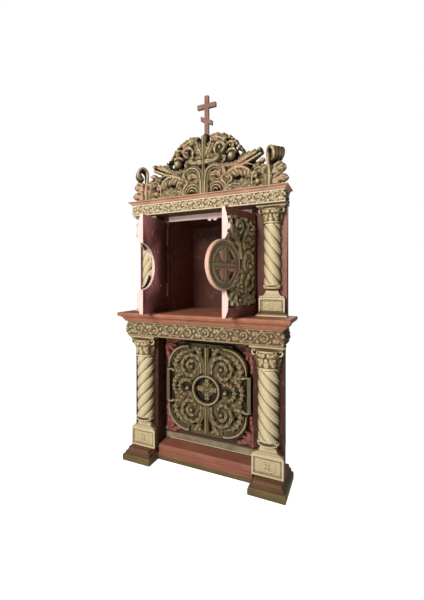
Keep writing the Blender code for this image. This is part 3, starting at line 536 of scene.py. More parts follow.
def pedestal(column):
    """The block: a raised frame round a sunk field with an oval bead and a four-petal flower."""
    half = column.block_half
    low, high = column.levels[:2]
    near = column.front + 0.020
    sunk = 0.0070
    mesh = bmesh.new()
    bmesh.ops.create_cube(mesh, size=1)
    for vert in mesh.verts:
        vert.co.x *= 2 * half
        vert.co.y = near if vert.co.y < 0 else column.face
        vert.co.z = low if vert.co.z < 0 else high
    face = min(mesh.faces, key=lambda item: item.calc_center_median().y)
    for width, depth in ((0.014, 0), (0.0025, -sunk), (0.004, 0), (0.0015, 0.0020),
                         (0.0015, -0.0020)):
        bmesh.ops.inset_region(mesh, faces=[face], thickness=width, depth=depth)
    bmesh.ops.bevel(mesh, geom=[edge for edge in mesh.edges if edge.calc_length() > 0.09
                                and all(abs(vert.co.y - near) < 1e-5 for vert in edge.verts)],
                    offset=0.0012, segments=2, profile=0.5, affect="EDGES", material=-1)
    middle = (low + high) / 2
    rise = (high - low) / 2 - 0.030
    field = near + sunk
    beads = 26
    for step in range(beads):
        turn = 2 * math.pi * step / beads
        bead(mesh, (1.5 * rise * math.sin(turn), field, middle + rise * math.cos(turn)), 0.0042)
    for petal in range(4):
        turn = math.pi / 2 * petal
        spin = Matrix.Translation((0, field + 0.001, middle)) @ Matrix.Rotation(turn, 4, "Y")
        spin @= Matrix.Translation((0, 0, 0.38 * rise))
        bmesh.ops.create_icosphere(mesh, subdivisions=2, radius=0.34 * rise,
                                   matrix=spin @ Matrix.Diagonal((0.55, 0.34, 1, 1)))
    for across in (-1, 1):
        for up in (-1, 1):
            tendril = [(across * rise * (0.55 + 0.5 * step / 9), field,
                        middle + up * rise * (0.16 + 0.22 * math.sin(math.pi * step / 9)))
                       for step in range(10)]
            cord_along(mesh, tendril, 0.0030)
    bead(mesh, (0, field, middle), 0.20 * rise)
    if column.plate:
        stacked(mesh, box_plan(-half, half, column.front + 0.018, column.face),
                ((column.plate - 0.001, low), (column.plate, low + 0.001),
                 (column.plate, low + 0.006), (0.010, low + 0.010), (0.003, low + 0.020)))
    return mesh


def skirted_base(column):
    """Beads on the block, a skirt that narrows to a neck, and two rings with beads between."""
    low, high = column.levels[1:3]
    height = high - low
    half, radius = column.block_half - 0.004, column.radius
    levels = [(low, half), (low + 0.10 * height, half)]
    levels += hollow((low + 0.15 * height, half - 0.010), (low + 0.66 * height, 0.76 * radius),
                     0.10, 7)
    levels += [(low + 0.70 * height, 0.90 * radius), (low + 0.74 * height, 0.98 * radius),
               (low + 0.86 * height, 0.98 * radius), (low + 0.88 * height, 1.11 * radius),
               (low + 0.98 * height, 1.11 * radius), (high, 1.06 * radius)]
    near = column.front + 0.022

    def outline(step):
        spread = levels[round(step)][1]
        if spread > 1.13 * radius:
            front = near + (column.face - near) * 0.18 * (1 - spread / half)
            return ((-spread, front), (spread, front), (spread, column.face),
                    (-spread, column.face))
        ends = [column.bulge(math.radians(angle), spread) for angle in (-58, 58, 90)]
        return (ends[0], ends[1], ends[2], (-ends[2][0], ends[2][1]))

    mesh = stacked(bmesh.new(), outline, [(step, level[0]) for step, level in enumerate(levels)])
    size = 0.0062
    beads = round(2 * half / (2.15 * size))
    for step in range(beads):
        bead(mesh, (half * (2 * (step + 0.5) / beads - 1), near - 0.002, low + 0.09 * height),
             size)
    for angle in range(-56, 57, 11):
        x, y = column.bulge(math.radians(angle), 0.99 * radius)
        bead(mesh, (x, y, low + 0.80 * height), 0.0056)
    return mesh


def bend(start, pull, end):
    """A spine from start to end, drawn towards pull."""
    a, b, c = Vector(start), Vector(pull), Vector(end)
    return lambda s: a * (1 - s) ** 2 + b * 2 * s * (1 - s) + c * s * s


def through(*points):
    """A smooth spine through its points."""
    spots = [Vector(point) for point in points]
    spots = [spots[0] * 2 - spots[1]] + spots + [spots[-1] * 2 - spots[-2]]
    spans = len(spots) - 3

    def spine(s):
        place = min(max(s, 0), 1) * spans
        first = min(int(place), spans - 1)
        t = place - first
        a, b, c, d = spots[first:first + 4]
        return (b * 2 + (c - a) * t + (a * 2 - b * 5 + c * 4 - d) * t * t
                + (b * 3 - a - c * 3 + d) * t ** 3) / 2
    return spine


def curl(centre, radius, start, sweep, inner):
    """A spiral spine round a centre, from radius in to inner times radius, angles in degrees."""
    middle = Vector(centre)

    def spine(s):
        angle = math.radians(start + sweep * s)
        reach = radius * (1 + (inner - 1) * s)
        return middle + reach * Vector((math.cos(angle), math.sin(angle)))
    return spine


def sheet(mesh, steps, across, front, behind):
    """A closed slab: front and behind give the place of a point at u along and v across."""
    made = bmesh.ops.create_grid(mesh, x_segments=steps, y_segments=across, size=0.5)
    grid = {vert: (vert.co.x + 0.5, 2 * vert.co.y) for vert in made["verts"]}
    faces = list({face for vert in made["verts"] for face in vert.link_faces})
    grown = bmesh.ops.extrude_face_region(mesh, geom=faces)
    copies = [item for item in grown["geom"] if isinstance(item, bmesh.types.BMVert)]
    for vert in copies:
        vert.co = behind(vert.co.x + 0.5, 2 * vert.co.y)
    for vert, (u, v) in grid.items():
        vert.co = front(u, v)


def across_of(spine, u):
    """The direction across a spine."""
    ahead = spine(min(u + 0.01, 1)) - spine(max(u - 0.01, 0))
    return Vector((-ahead.y, ahead.x)).normalized()


def leaf(mesh, spine, width, rise, lobes, cut=0.45, vein=0.22, cup=0.55, tip=0.4, back=0.0,
         arch=0.3):
    """A carved leaf that stands out from y = 0 by rise, along a spine in the plane of x and z.

    cut is how deep the notches between the lobes go, vein the groove down the middle, cup how
    far the edges drop, tip the width left at the end, back how far it reaches behind, and arch
    how far its ends dip.
    """
    def lobe(u, v):
        phase = u * lobes + 0.5 * (1 - abs(v))
        return abs(math.sin(math.pi * phase)) ** 0.6 if lobes else 1.0

    def flat(u, v):
        end = max(0, (u - 0.45) / 0.55)
        taper = min(1, 0.5 + 2.2 * u) * (tip + (1 - tip) * math.sqrt(max(0, 1 - end * end)))
        notch = 1 - cut * 0.6 * (1 - lobe(u, 1))
        return spine(u) + across_of(spine, u) * width * taper * notch * v

    def front(u, v):
        spot = flat(u, v)
        lift = (1 - cup * v * v) * (1 - cut * (1 - lobe(u, v)) * min(1, 1.6 * abs(v)))
        lift -= vein * math.exp(-(v / 0.16) ** 2)
        lift *= 1 - arch * (1 - math.sin(math.pi * min(1, 0.15 + 0.8 * u)))
        return spot.x, -rise * max(0.10, lift), spot.y

    def behind(u, v):
        spot = flat(u, v)
        return spot.x, back, spot.y

    sheet(mesh, max(10, 6 * lobes), 8, front, behind)


def strip(mesh, spine, width, rise, vein=0.0, cup=0.5, tip=1.0, back=0.0, arch=0.0):
    """A leaf with no lobes."""
    leaf(mesh, spine, width, rise, 0, 0, vein, cup, tip, back, arch)


def flutes(mesh, spine, width, rise, ribs, back=0.0):
    """A stalk with rounded ribs along it."""
    def behind(u, v):
        spread = width[0] + (width[1] - width[0]) * u
        spot = spine(u) + across_of(spine, u) * spread * v
        return spot.x, back, spot.y

    def front(u, v):
        rib = abs(math.sin(math.pi * ribs * (v + 1) / 2)) ** 0.6
        x, _, z = behind(u, v)
        return x, -rise * (0.55 + 0.45 * rib) * (1 - 0.5 * v * v), z

    sheet(mesh, 16, 6 * ribs, front, behind)


def acanthus(mesh, spine, width, rise, fingers, sides=(-1, 1), lean=0.7):
    """A broad leaf of overlapping fingers that leave its midrib and bend to their own tips."""
    long = sum((spine((part + 1) / 6) - spine(part / 6)).length for part in range(6))
    stout = 0.74 * long / fingers
    for step in range(fingers):
        u = 0.02 + 0.84 * step / fingers
        root, out = spine(u), across_of(spine, u)
        along = (spine(u + 0.02) - spine(u)).normalized()
        spread = width * (0.62 + 0.38 * math.sin(math.pi * (step + 1) / (fingers + 1)))
        for side in sides:
            tip = root + out * side * spread + along * lean * spread
            pull = root + out * side * spread * 0.45 + along * lean * spread * 0.9
            strip(mesh, bend(root, pull, tip), stout, rise * (0.86 + 0.14 * (step % 2)),
                  0.28, 0.9, 0.45, arch=0.3)
    strip(mesh, spine, 0.24 * width, rise, 0.3, 0.6, 0.4, arch=0.3)


def bud(mesh, x, z, radius, rise, sink=0.0):
    """A round bud that rises from the ground."""
    place = Matrix.Translation((x, sink, z)) @ Matrix.Diagonal((radius, rise, radius, 1))
    bmesh.ops.create_icosphere(mesh, subdivisions=3, radius=1, matrix=place)


class Carver:
    """Carves into a mesh from points given for one side, which across and up (1 or -1) mirror."""

    def __init__(self, mesh, across, up=1):
        self.mesh = mesh
        self.across = across
        self.up = up

    def spine(self, points):
        """A smooth spine through mirrored points."""
        return through(*[(self.across * x, self.up * z) for x, z in points])

    def blade(self, points, width, rise, lobes, cut=0.45, **more):
        """A leaf along the points."""
        leaf(self.mesh, self.spine(points), width, rise, lobes, cut, **more)

    def fan(self, points, width, rise, fingers, sides=(-1, 1), lean=0.7):
        """A broad fingered leaf along the points."""
        acanthus(self.mesh, self.spine(points), width, rise, fingers,
                 [self.across * side for side in sides], lean)

    def swirl(self, x, z, radius, start, sweep, width, rise, lobes):
        """A leaf that winds round a bud."""
        first = start if self.across > 0 else 180 - start
        centre = (self.across * x, self.up * z)
        leaf(self.mesh, curl(centre, radius, first, self.across * sweep, 0.42), width, rise, lobes)
        bud(self.mesh, *centre, 0.34 * radius, rise * 1.1)

    def bud(self, x, z, radius, rise):
        """A bud at a mirrored place."""
        bud(self.mesh, self.across * x, self.up * z, radius, rise)


def cut_through(mesh, place, way):
    """Cut every face along the plane through a place, across way."""
    bmesh.ops.bisect_plane(mesh, geom=[*mesh.verts, *mesh.edges, *mesh.faces], plane_co=place,
                           plane_no=way)


def carved(name, mesh, paints, voxel, ground, back, low=None, smooth=1, keep=0.5, depth=0.035,
           body="carcass", area=None, seat=None):
    """Fuse carved shapes into one skin, put it on its ground, store its wear and painted shade,
    and thin it.

    Shapes are drawn round y = 0, which is put at ground. back is where the flat back lies, and
    low the height of a flat foot. area picks a face's paint, and seat moves it all in the end.
    """
    bmesh.ops.recalc_face_normals(mesh, faces=mesh.faces)
    rough = bpy.data.meshes.new(name + "_rough")
    mesh.to_mesh(rough)
    mesh.free()
    made = bpy.data.objects.new(name, rough)
    bpy.context.scene.collection.objects.link(made)
    skin = made.modifiers.new("skin", "REMESH")
    skin.mode = "VOXEL"
    skin.voxel_size = voxel
    settle(made)
    fused = bmesh.new()
    fused.from_mesh(made.data)
    bmesh.ops.translate(fused, verts=fused.verts, vec=(0, ground, 0))
    for _ in range(smooth):
        bmesh.ops.smooth_vert(fused, verts=fused.verts, factor=0.5, use_axis_x=True,
                              use_axis_y=True, use_axis_z=True)
    near = 0.8 * voxel
    for vert in fused.verts:
        if vert.co.y > back - near:
            vert.co.y = back
        if low is not None and vert.co.z < low + near:
            vert.co.z = low
    fused.to_mesh(made.data)
    fused.free()
    weather(made, 1.6 * voxel, depth)
    made.modifiers.new("thin", "DECIMATE").ratio = keep
    settle(made)
    for paint in paints:
        made.data.materials.append(paint)
    if area:
        for face in made.data.polygons:
            face.material_index = area(face.center, face.normal)
    if seat:
        made.data.transform(seat)
    made.data.shade_smooth()
    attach(made, body)
    return made


def settle(made):
    """Apply an object's modifiers to its mesh."""
    graph = bpy.context.evaluated_depsgraph_get()
    data = bpy.data.meshes.new_from_object(made.evaluated_get(graph))
    old = made.data
    made.modifiers.clear()
    made.data = data
    bpy.data.meshes.remove(old)


def capital(column):
    """Rings, a flared bell, two rows of leaves with rolled tips, corner scrolls and a slab."""
    low, high = column.levels[4:6]
    height = high - low
    radius, wide = column.radius, column.slab_half
    slab = low + 0.80 * height
    mesh = bmesh.new()

    def spread(z):
        rise = max(0, min(1, (z - low) / height))
        return radius * (0.96 + 0.34 * rise ** 2.2)

    reach = math.pi / 2 * radius
    for row, count, up, size in ((0.12, 5, 0.30, 0.19), (0.26, 4, 0.34, 0.17)):
        for step in range(count):
            x = reach * (-0.86 + 1.72 * step / (count - 1))
            foot = low + row * height
            spine = through((x, foot), (x, foot + up * height * 0.5), (x, foot + up * height))
            leaf(mesh, spine, size * reach, 0.016, 4, 0.8, 0.5, 0.7, 0.55, 0.006)
            bud(mesh, x, foot + up * height, 0.10 * reach, 0.017)
    for side in (-1, 1):
        for x, size in ((0.50, 0.115), (0.16, 0.080)):
            centre = (side * x * reach, low + 0.60 * height)
            strip(mesh, curl(centre, size * height, 90, side * 470, 0.25), 0.0038, 0.016,
                  cup=0.4, tip=0.9, back=0.004)
            flutes(mesh, through((side * 0.42 * reach, low + 0.34 * height),
                                 (side * 0.43 * reach, low + 0.52 * height),
                                 (side * (x * 0.6 + 0.18) * reach, low + 0.72 * height)),
                   (0.004, 0.006), 0.012, 1, 0.004)
    for step in range(9):
        x = reach * (-0.9 + 1.8 * step / 8)
        bud(mesh, x, low + 0.725 * height, 0.0052, 0.012)
    for vert in mesh.verts:
        angle = max(-1.5, min(1.5, vert.co.x / radius))
        out = spread(vert.co.z) - vert.co.y * (0.7 + 0.6 * (vert.co.z - low) / height)
        x, y = column.bulge(angle, out)
        vert.co = (x, min(y, column.face), vert.co.z)
    rings = [(0, 1.02), (0.01, 1.12), (0.03, 1.14), (0.07, 1.14), (0.09, 1.10), (0.10, 0.98),
             (0.30, 1.00), (0.50, 1.06), (0.64, 1.16), (0.78, 1.30)]

    def outline(step):
        size = rings[round(step)][1] * radius
        ends = [column.bulge(math.radians(angle), size) for angle in range(-90, 91, 20)]
        return [(x, min(y, column.face)) for x, y in ends]

    stacked(mesh, outline, [(step, low + part[0] * height) for step, part in enumerate(rings)])
    near = column.front - 0.006
    stacked(mesh, box_plan(-wide, wide, near, column.face),
            ((-0.026, slab - 0.06 * height), (-0.023, slab - 0.05 * height),
             (-0.009, slab + 0.10 * height), (-0.003, slab + 0.11 * height),
             (-0.002, slab + 0.13 * height), (-0.002, high - 0.002), (-0.004, high)))
    for side in (-1, 1):
        centre = (side * (wide - 0.036), slab - 0.10 * height)
        turn = curl(centre, 0.024, 90, -side * 420, 0.25)
        first = len(mesh.verts)
        strip(mesh, turn, 0.0055, 0.012, tip=0.9, back=0.012)
        mesh.verts.ensure_lookup_table()
        for vert in mesh.verts[first:]:
            vert.co.y += near + 0.030
    return mesh


for column in (Column("lower_column", 0.0), Column("upper_column", 0.016)):
    for side, word in ((-1, "left"), (1, "right")):
        parts = (("pedestal", pedestal(column), 0.0018, 0, 0.35, 0.012),
                 ("base", skirted_base(column), 0.0018, 0, 0.35, 0.030),
                 ("shaft", rope(column, side), None, 0, 1, 0.034),
                 ("capital", capital(column), 0.0022, 1, 0.6, 0.017))
        for part, mesh, voxel, smooth, keep, depth in parts:
            node = "%s_%s_%s" % (word, column.name, part)
            name = "%s_%s_carved_%s" % (word, column.name, part)
            bmesh.ops.translate(mesh, verts=mesh.verts, vec=(side * column.x, 0, 0))
            if voxel:
                made = carved(name, mesh, [CREAM_PAINT], voxel, 0.0, column.face, smooth=smooth,
                              keep=keep, depth=depth)
            else:
                made = new_piece(name, mesh, CREAM_PAINT)
                weather(made, 0.004, depth)
            stand_for(made, "cream_carving", node)


# Lower panel: one thick limewood carving glued to the mahogany panel board. Leaf scrolls fill a
# frame of four arcs and two bars, round a ringed flower, under olive-gold paint.
PANEL_LOW, PANEL_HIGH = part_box("lower_panel_carving")
PANEL_MIDDLE = (PANEL_LOW.z + PANEL_HIGH.z) / 2
PANEL_BACK = deep(PANEL_DEPTH - 0.0003)
PANEL_GROUND = deep(0.122)
ARC_X, ARC_UP, ARC_RADIUS = 0.140, 0.143, 0.150
BAR_X, BAR_HALF = 0.305, 0.120
RING_OUTER, RING_INNER = 0.107, 0.086
PANEL_THICK = PANEL_BACK - PANEL_GROUND
PAINTED_STRIP = 0.160
# The first colour is the glaze and painted shade of the cuts.
OLIVE_PAINT = aged_paint("olive_paint", (0.006, 0.004, 0.002), (0.072, 0.053, 0.020),
                         (0.32, 0.262, 0.135), (0.30, 0.12, 0.085), 0.35)


def panel_board_shade_finish():
    """Stained board, darkened as painted shade, with olive paint along its foot."""
    wood = Finish("panel_board", Coat_Weight=0.06, Coat_Roughness=0.4)
    lines = wood.noise(0.004, 3, (1, 1, 14))
    cloud = wood.noise(0.12, 3)
    height = wood.node("SeparateXYZ", None, {0: wood.place()}, "Z")
    strip = 1 - (height + cloud * 0.02).step(PAINTED_STRIP, PAINTED_STRIP + 0.012)
    # Painted shade: the board's wood colours are darkened to near black.
    colour = wood.mix((lines * 0.45 + cloud * 0.75 - 0.1).clamp(), (0.012, 0.005, 0.004),
                      (0.060, 0.022, 0.015))
    paint = wood.mix(cloud.step(0.3, 0.7), (0.130, 0.105, 0.050), (0.260, 0.215, 0.120))
    colour = wood.mix(strip, colour, paint)
    return wood.finish(colour, 0.5 + 0.2 * lines, lines, 0.16, 0.0006)


dress("lower_panel_board", panel_board_shade_finish())


def quarter(angle, side, up):
    """An angle in degrees, given for the upper right quarter, turned into another quarter."""
    if up < 0:
        angle = -angle
    return 180 - angle if side < 0 else angle


def panel_plate(mesh):
    """The rounded ground behind the leaves."""
    corners = []
    for turn, (side, up) in enumerate(((1, -1), (1, 1), (-1, 1), (-1, -1))):
        for part in range(9):
            angle = math.radians(-90 + 90 * turn + 90 * part / 8)
            corners.append((side * ARC_X + ARC_RADIUS * math.cos(angle), PANEL_THICK,
                            up * ARC_UP + ARC_RADIUS * math.sin(angle)))
    extruded(mesh, corners, (0, -PANEL_THICK, 0))


def panel_quarter(mesh, side, up):
    """One quarter of the panel: frame arc, long edge leaf, big scroll and what it holds."""
    cut = Carver(mesh, side, up)
    for points, width, rise, fingers in (
            (((0.040, 0.100), (0.100, 0.150), (0.150, 0.230)), 0.060, 0.028, 7),
            (((0.100, 0.060), (0.180, 0.100), (0.262, 0.110)), 0.050, 0.028, 6),
            (((0.100, 0.262), (0.180, 0.240), (0.232, 0.170)), 0.030, 0.030, 6)):
        cut.fan(points, width, rise, fingers)
    centre = (side * ARC_X, up * ARC_UP)
    first, last = quarter(-4, side, up), quarter(94, side, up)
    strip(mesh, curl(centre, ARC_RADIUS, first, last - first, 1), 0.014, 0.047,
          back=PANEL_THICK)
    strip(mesh, curl(centre, ARC_RADIUS - 0.019, first, last - first, 1), 0.005, 0.034)
    first, last = quarter(-22, side, up), quarter(92, side, up)
    leaf(mesh, curl(centre, 0.106, first, last - first, 0.98), 0.026, 0.038, 6, 0.6, 0.2, 0.5,
         0.5)
    cut.blade(((0.040, 0.108), (0.042, 0.165), (0.062, 0.214), (0.112, 0.232), (0.162, 0.208),
               (0.186, 0.158), (0.166, 0.106), (0.126, 0.086), (0.092, 0.104), (0.088, 0.136)),
              0.022, 0.050, 10, 0.55, tip=0.6)
    cut.blade(((0.096, 0.190), (0.132, 0.184), (0.146, 0.152), (0.120, 0.124)), 0.021, 0.044,
              2, 0.4)
    for points, rise in ((((0.052, 0.108), (0.096, 0.074), (0.128, 0.052)), 0.036),
                         (((0.040, 0.240), (0.062, 0.262), (0.108, 0.276)), 0.034),
                         (((0.190, 0.112), (0.230, 0.104), (0.268, 0.120)), 0.036)):
        cut.blade(points, 0.018, rise, 2, 0.5)
    cut.bud(0.112, 0.152, 0.020, 0.050)
    cut.bud(0.050, 0.280, 0.017, 0.036)


def panel_side(mesh, side):
    """The side bar, its ends, and two leaves closed round a ball beside the ring."""
    back = PANEL_THICK
    slab(mesh, side * BAR_X - 0.011, side * BAR_X + 0.011, -BAR_HALF, BAR_HALF, back, 0.030 + back)
    for up in (-1, 1):
        strip(mesh, bend((side * BAR_X, up * (BAR_HALF - 0.012)),
                         (side * 0.292, up * (BAR_HALF + 0.008)),
                         (side * 0.256, up * (BAR_HALF - 0.016))), 0.011, 0.036, back=back)
        start = 20 if side > 0 else 160
        leaf(mesh, curl((side * 0.150, 0), 0.058, start - side * up * 20, side * up * 128, 0.9),
             0.024, 0.048, 5, 0.55)
        leaf(mesh, curl((side * 0.158, 0), 0.098, start - side * up * 20, side * up * 86, 1.0),
             0.023, 0.040, 5, 0.6)
        acanthus(mesh, through((side * 0.100, up * 0.010), (side * 0.180, up * 0.050),
                               (side * 0.260, up * 0.056)), 0.045, 0.026, 6)
    bud(mesh, side * 0.142, 0, 0.022, 0.054)


def ring_round(mesh, x, z, inner, outer, rise, segments=48, back=0.0):
    """A ring with a rounded front."""
    middle, half = (inner + outer) / 2, (outer - inner) / 2
    section = [(middle + half * math.cos(math.pi * part / 6),
                -rise * (0.55 + 0.45 * math.sin(math.pi * part / 6))) for part in range(7)]
    section += [(inner, back), (outer, back)]
    spots = [mesh.verts.new((x + r, y, z)) for r, y in section]
    edges = [mesh.edges.new((spots[i - 1], spots[i])) for i in range(len(spots))]
    bmesh.ops.spin(mesh, geom=edges, cent=(x, 0, z), axis=(0, 1, 0), angle=2 * math.pi,
                   steps=segments, use_merge=True)


def panel_sheaf(mesh, up):
    """Ribbed stalks between the ring and the frame, with a plain rail behind their ends."""
    rail = up * 0.300
    slab(mesh, -0.19, 0.19, rail - 0.015, rail + 0.015, PANEL_THICK, 0.024 + PANEL_THICK)
    flutes(mesh, through((0, up * 0.098), (0, up * 0.19), (0, up * 0.296)), (0.017, 0.024),
           0.044, 3)
    for side in (-1, 1):
        flutes(mesh, through((side * 0.018, up * 0.100), (side * 0.026, up * 0.180),
                             (side * 0.060, up * 0.250), (side * 0.084, up * 0.292)),
               (0.011, 0.016), 0.038, 2)
        bud(mesh, side * 0.086, up * 0.284, 0.018, 0.036)


def compass(quarters):
    """The direction at a number of quarter turns from upright."""
    return Vector((math.sin(math.pi / 2 * quarters), math.cos(math.pi / 2 * quarters)))


mesh = bmesh.new()
panel_plate(mesh)
for up in (-1, 1):
    panel_sheaf(mesh, up)
    for side in (-1, 1):
        panel_quarter(mesh, side, up)
for side in (-1, 1):
    panel_side(mesh, side)
ring_round(mesh, 0, 0, RING_INNER, RING_OUTER, 0.047)
for petal in range(4):
    way = compass(petal)
    leaf(mesh, bend(way * 0.008, way * 0.040, way * 0.086), 0.024, 0.030, 3, 0.35, 0.3, 0.5,
         0.6)
    slant = Vector((way.x - way.y, way.x + way.y)) / math.sqrt(2)
    strip(mesh, bend(slant * 0.010, slant * 0.03, slant * 0.052), 0.010, 0.020, 0.1, 0.55, 0.4,
          arch=0.3)
bud(mesh, 0, 0, 0.013, 0.034)
bmesh.ops.translate(mesh, verts=mesh.verts, vec=(0, 0, PANEL_MIDDLE))
panel = carved("panel_carving", mesh, [OLIVE_PAINT], 0.0030, PANEL_GROUND, PANEL_BACK)
stand_for(panel, "olive_carving", "lower_panel_carving")


# Corner leaves: small mahogany carvings with a dark red stain, each cut from one thin board and
# glued to the panel board in a corner outside the panel's frame.
def corner_leaves(side, up):
    """Long leaves from one root: along the side, across the corner and along the rail."""
    mesh = bmesh.new()
    root = Vector((side * 0.326, up * 0.328))
    for lean, length, width, lobes in ((4, 0.190, 0.020, 5), (28, 0.120, 0.016, 3),
                                       (50, 0.092, 0.016, 3), (86, 0.112, 0.020, 3)):
        angle = math.radians(lean)
        way = Vector((-side * math.sin(angle), -up * math.cos(angle)))
        over = Vector((way.y, -way.x)) * 0.010
        leaf(mesh, through(root - way * 0.010, root + way * length * 0.4 + over,
                           root + way * length * 0.8 - over * 0.5, root + way * length), width,
             0.032, lobes, 0.5, 0.25, 0.5, 0.5, 0.004)
    bud(mesh, root.x, root.y, 0.021, 0.034, 0.002)
    bmesh.ops.translate(mesh, verts=mesh.verts, vec=(0, 0, PANEL_MIDDLE))
    return mesh


# The first colour is the glaze and painted shade of the cuts.
RED_CARVING = aged_paint("mahogany_carving", (0.020, 0.006, 0.005), (0.125, 0.036, 0.025),
                         (0.36, 0.130, 0.090))
for side, word in ((-1, "left"), (1, "right")):
    for up, end in ((-1, "bottom"), (1, "top")):
        made = carved("leaves_%s_%s" % (end, word), corner_leaves(side, up), [RED_CARVING],
                      0.0025, PANEL_BACK, PANEL_BACK)
        stand_for(made, "mahogany", "corner_leaves_%s_%s" % (end, word))


# Friezes: long limewood strips carved with a running leaf scroll, bent round the corners by
# mitred returns. The lower one swells forward, the upper one is nearly flat.
def frieze_unit(mesh, start, span, high, flip):
    """One wave of the running scroll: a stem, a spiral with a bud, and leaves off it."""
    def at(x, z):
        return start + x * span, flip * z * high

    strip(mesh, through(at(0, -0.34), at(0.12, -0.06), at(0.34, 0.34), at(0.70, 0.38),
                        at(0.92, 0.40), at(1.0, 0.34)), 0.0045, 0.007, arch=0.3)
    leaf(mesh, curl(at(0.50, -0.06), 0.30 * high, 110 * flip, -300 * flip, 0.6), 0.0085,
         0.011, 4, 0.5, 0.1, 0.5, 0.7)
    bud(mesh, *at(0.50, -0.06), 0.0085, 0.013)
    for x, z, dx, dz in ((0.04, 0.06, -0.02, 0.36), (0.18, 0.16, -0.04, 0.26),
                         (0.84, 0.02, 0.02, 0.24), (0.96, -0.10, 0.06, -0.30),
                         (0.12, -0.30, 0.16, -0.12), (0.86, -0.26, -0.12, -0.16),
                         (0.62, -0.42, 0.14, 0.02), (0.34, 0.46, 0.14, -0.02)):
        leaf(mesh, bend(at(x, z), at(x + dx * 0.7, z + dz * 0.3), at(x + dx, z + dz)), 0.0100,
             0.010, 2, 0.45, 0.2, 0.6, 0.5)


def frieze(name, node, paint, swell, rail, units, thick, voxel):
    """The running scroll on a strip with plain rails, wrapped round the altar's front."""
    low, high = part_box(node)
    height = high.z - low.z
    middle = (low.z + high.z) / 2
    near = low.y + swell + 0.009
    half = high.x - swell - 0.009
    side = RETURN_BACK - near
    field = height - 2 * rail
    mesh = bmesh.new()
    length = 2 * half + 2 * side
    slab(mesh, -length / 2, length / 2, -height / 2, height / 2, thick, thick)
    for up in (-1, 1):
        slab(mesh, -length / 2, length / 2, up * height / 2, up * (height / 2 - rail), 0.002,
             0.010)
    span = length / units
    for unit in range(units):
        frieze_unit(mesh, -length / 2 + unit * span, span, field, 1 if unit % 2 else -1)
    cuts = [-half - side / 2, -half, half, half + side / 2]
    cuts += [-half + 2 * half * step / 30 for step in range(1, 30)]
    for cut in cuts:
        cut_through(mesh, (cut, 0, 0), (1, 0, 0))
    for cut in (-0.4, -0.2, 0, 0.2, 0.4):
        cut_through(mesh, (0, 0, cut * height), (0, 0, 1))
    for vert in mesh.verts:
        bow = 1 - (2 * vert.co.z / height) ** 2
        out = -vert.co.y + (swell * max(0, bow) if vert.co.y < 0.4 * thick else 0)
        x, z = vert.co.x, vert.co.z + middle
        if abs(x) <= half:
            vert.co = (x * (1 + out / half), near - out, z)
        else:
            along = abs(x) - half
            vert.co = (math.copysign(half + out, x), near - out + along * (1 + out / side), z)
    made = carved(name, mesh, [paint], voxel, 0.0, RETURN_BACK, smooth=0, keep=0.34,
                  depth=0.012)
    stand_for(made, "olive_carving", node)


# The first colour of each paint is the glaze and painted shade of the cuts.
FRIEZE_PAINT = aged_paint("frieze_paint", (0.070, 0.048, 0.020), (0.205, 0.157, 0.080),
                          (0.42, 0.352, 0.208), (0.24, 0.085, 0.055), 0.55, red_side=(0.05, 0.45))
CORNICE_PAINT = aged_paint("cornice_paint", (0.120, 0.084, 0.042), (0.30, 0.236, 0.144),
                           (0.60, 0.505, 0.350))
frieze("lower_frieze_scroll", "lower_frieze", FRIEZE_PAINT, 0.010, 0.010, 12, 0.024, 0.0022)
frieze("cornice_scroll", "cornice_frieze", CORNICE_PAINT, 0.0, 0.008, 16, 0.020, 0.0020)


# Valance and cross: sawn boards with eased edges. The valance is fixed under the cornice, and its
# pale pink is a painted highlight of light falling on mahogany; the cross is stained mahogany and
# stands on the crown.
# Painted highlight: the valance's pale pink stands in for light falling on its mahogany.
VALANCE_HIGHLIGHT = stained_wood("pink_paint", (0.50, 0.33, 0.29), (0.78, 0.62, 0.57), ALONG, 0.5)
CROSS_WOOD = stained_wood("cross_wood", (0.060, 0.026, 0.018), (0.260, 0.135, 0.100))
dress("valance", VALANCE_HIGHLIGHT)
mesh = bmesh.new()
mesh.from_mesh(frame["nodes"]["cross"].data)
bmesh.ops.remove_doubles(mesh, verts=mesh.verts, dist=SAME_SPOT)
bmesh.ops.dissolve_limit(mesh, angle_limit=math.radians(1), verts=mesh.verts, edges=mesh.edges)
cross = new_piece("cross_board", mesh, CROSS_WOOD)
eased(cross, 0.0022, 3)
stand_for(cross, "mahogany", "cross")


# Crown: a deep limewood carving in glued boards. A ribbed stalk with two great leaf scrolls
# carries a dome of scrolls with beaded edges, sprays to each side and a curled leaf at each end.
CROWN_LOW, CROWN_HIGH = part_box("crown")
CROWN_BACK = CROWN_HIGH.y
CROWN_GROUND = deep(0.088)
CROWN_THICK = CROWN_BACK - CROWN_GROUND
WING_START, WING_FORWARD = 0.36, 0.040
CROOK_X, CROOK_DEPTH = 0.472, 0.055
CROOK_HALF = 0.038
# The first colour is the glaze and painted shade of the cuts.
GOLD_PAINT = aged_paint("gold_olive_paint", (0.008, 0.005, 0.002), (0.125, 0.093, 0.043),
                        (0.50, 0.410, 0.245), (0.42, 0.19, 0.135), 0.65, red_side=(-0.30, -0.46))


def beaded(mesh, spine, radius, rise, count):
    """Beads side by side along a spine."""
    for step in range(count):
        spot = spine(step / (count - 1))
        bud(mesh, spot.x, spot.y, radius * (0.85 + 0.3 * (step % 2)), rise)


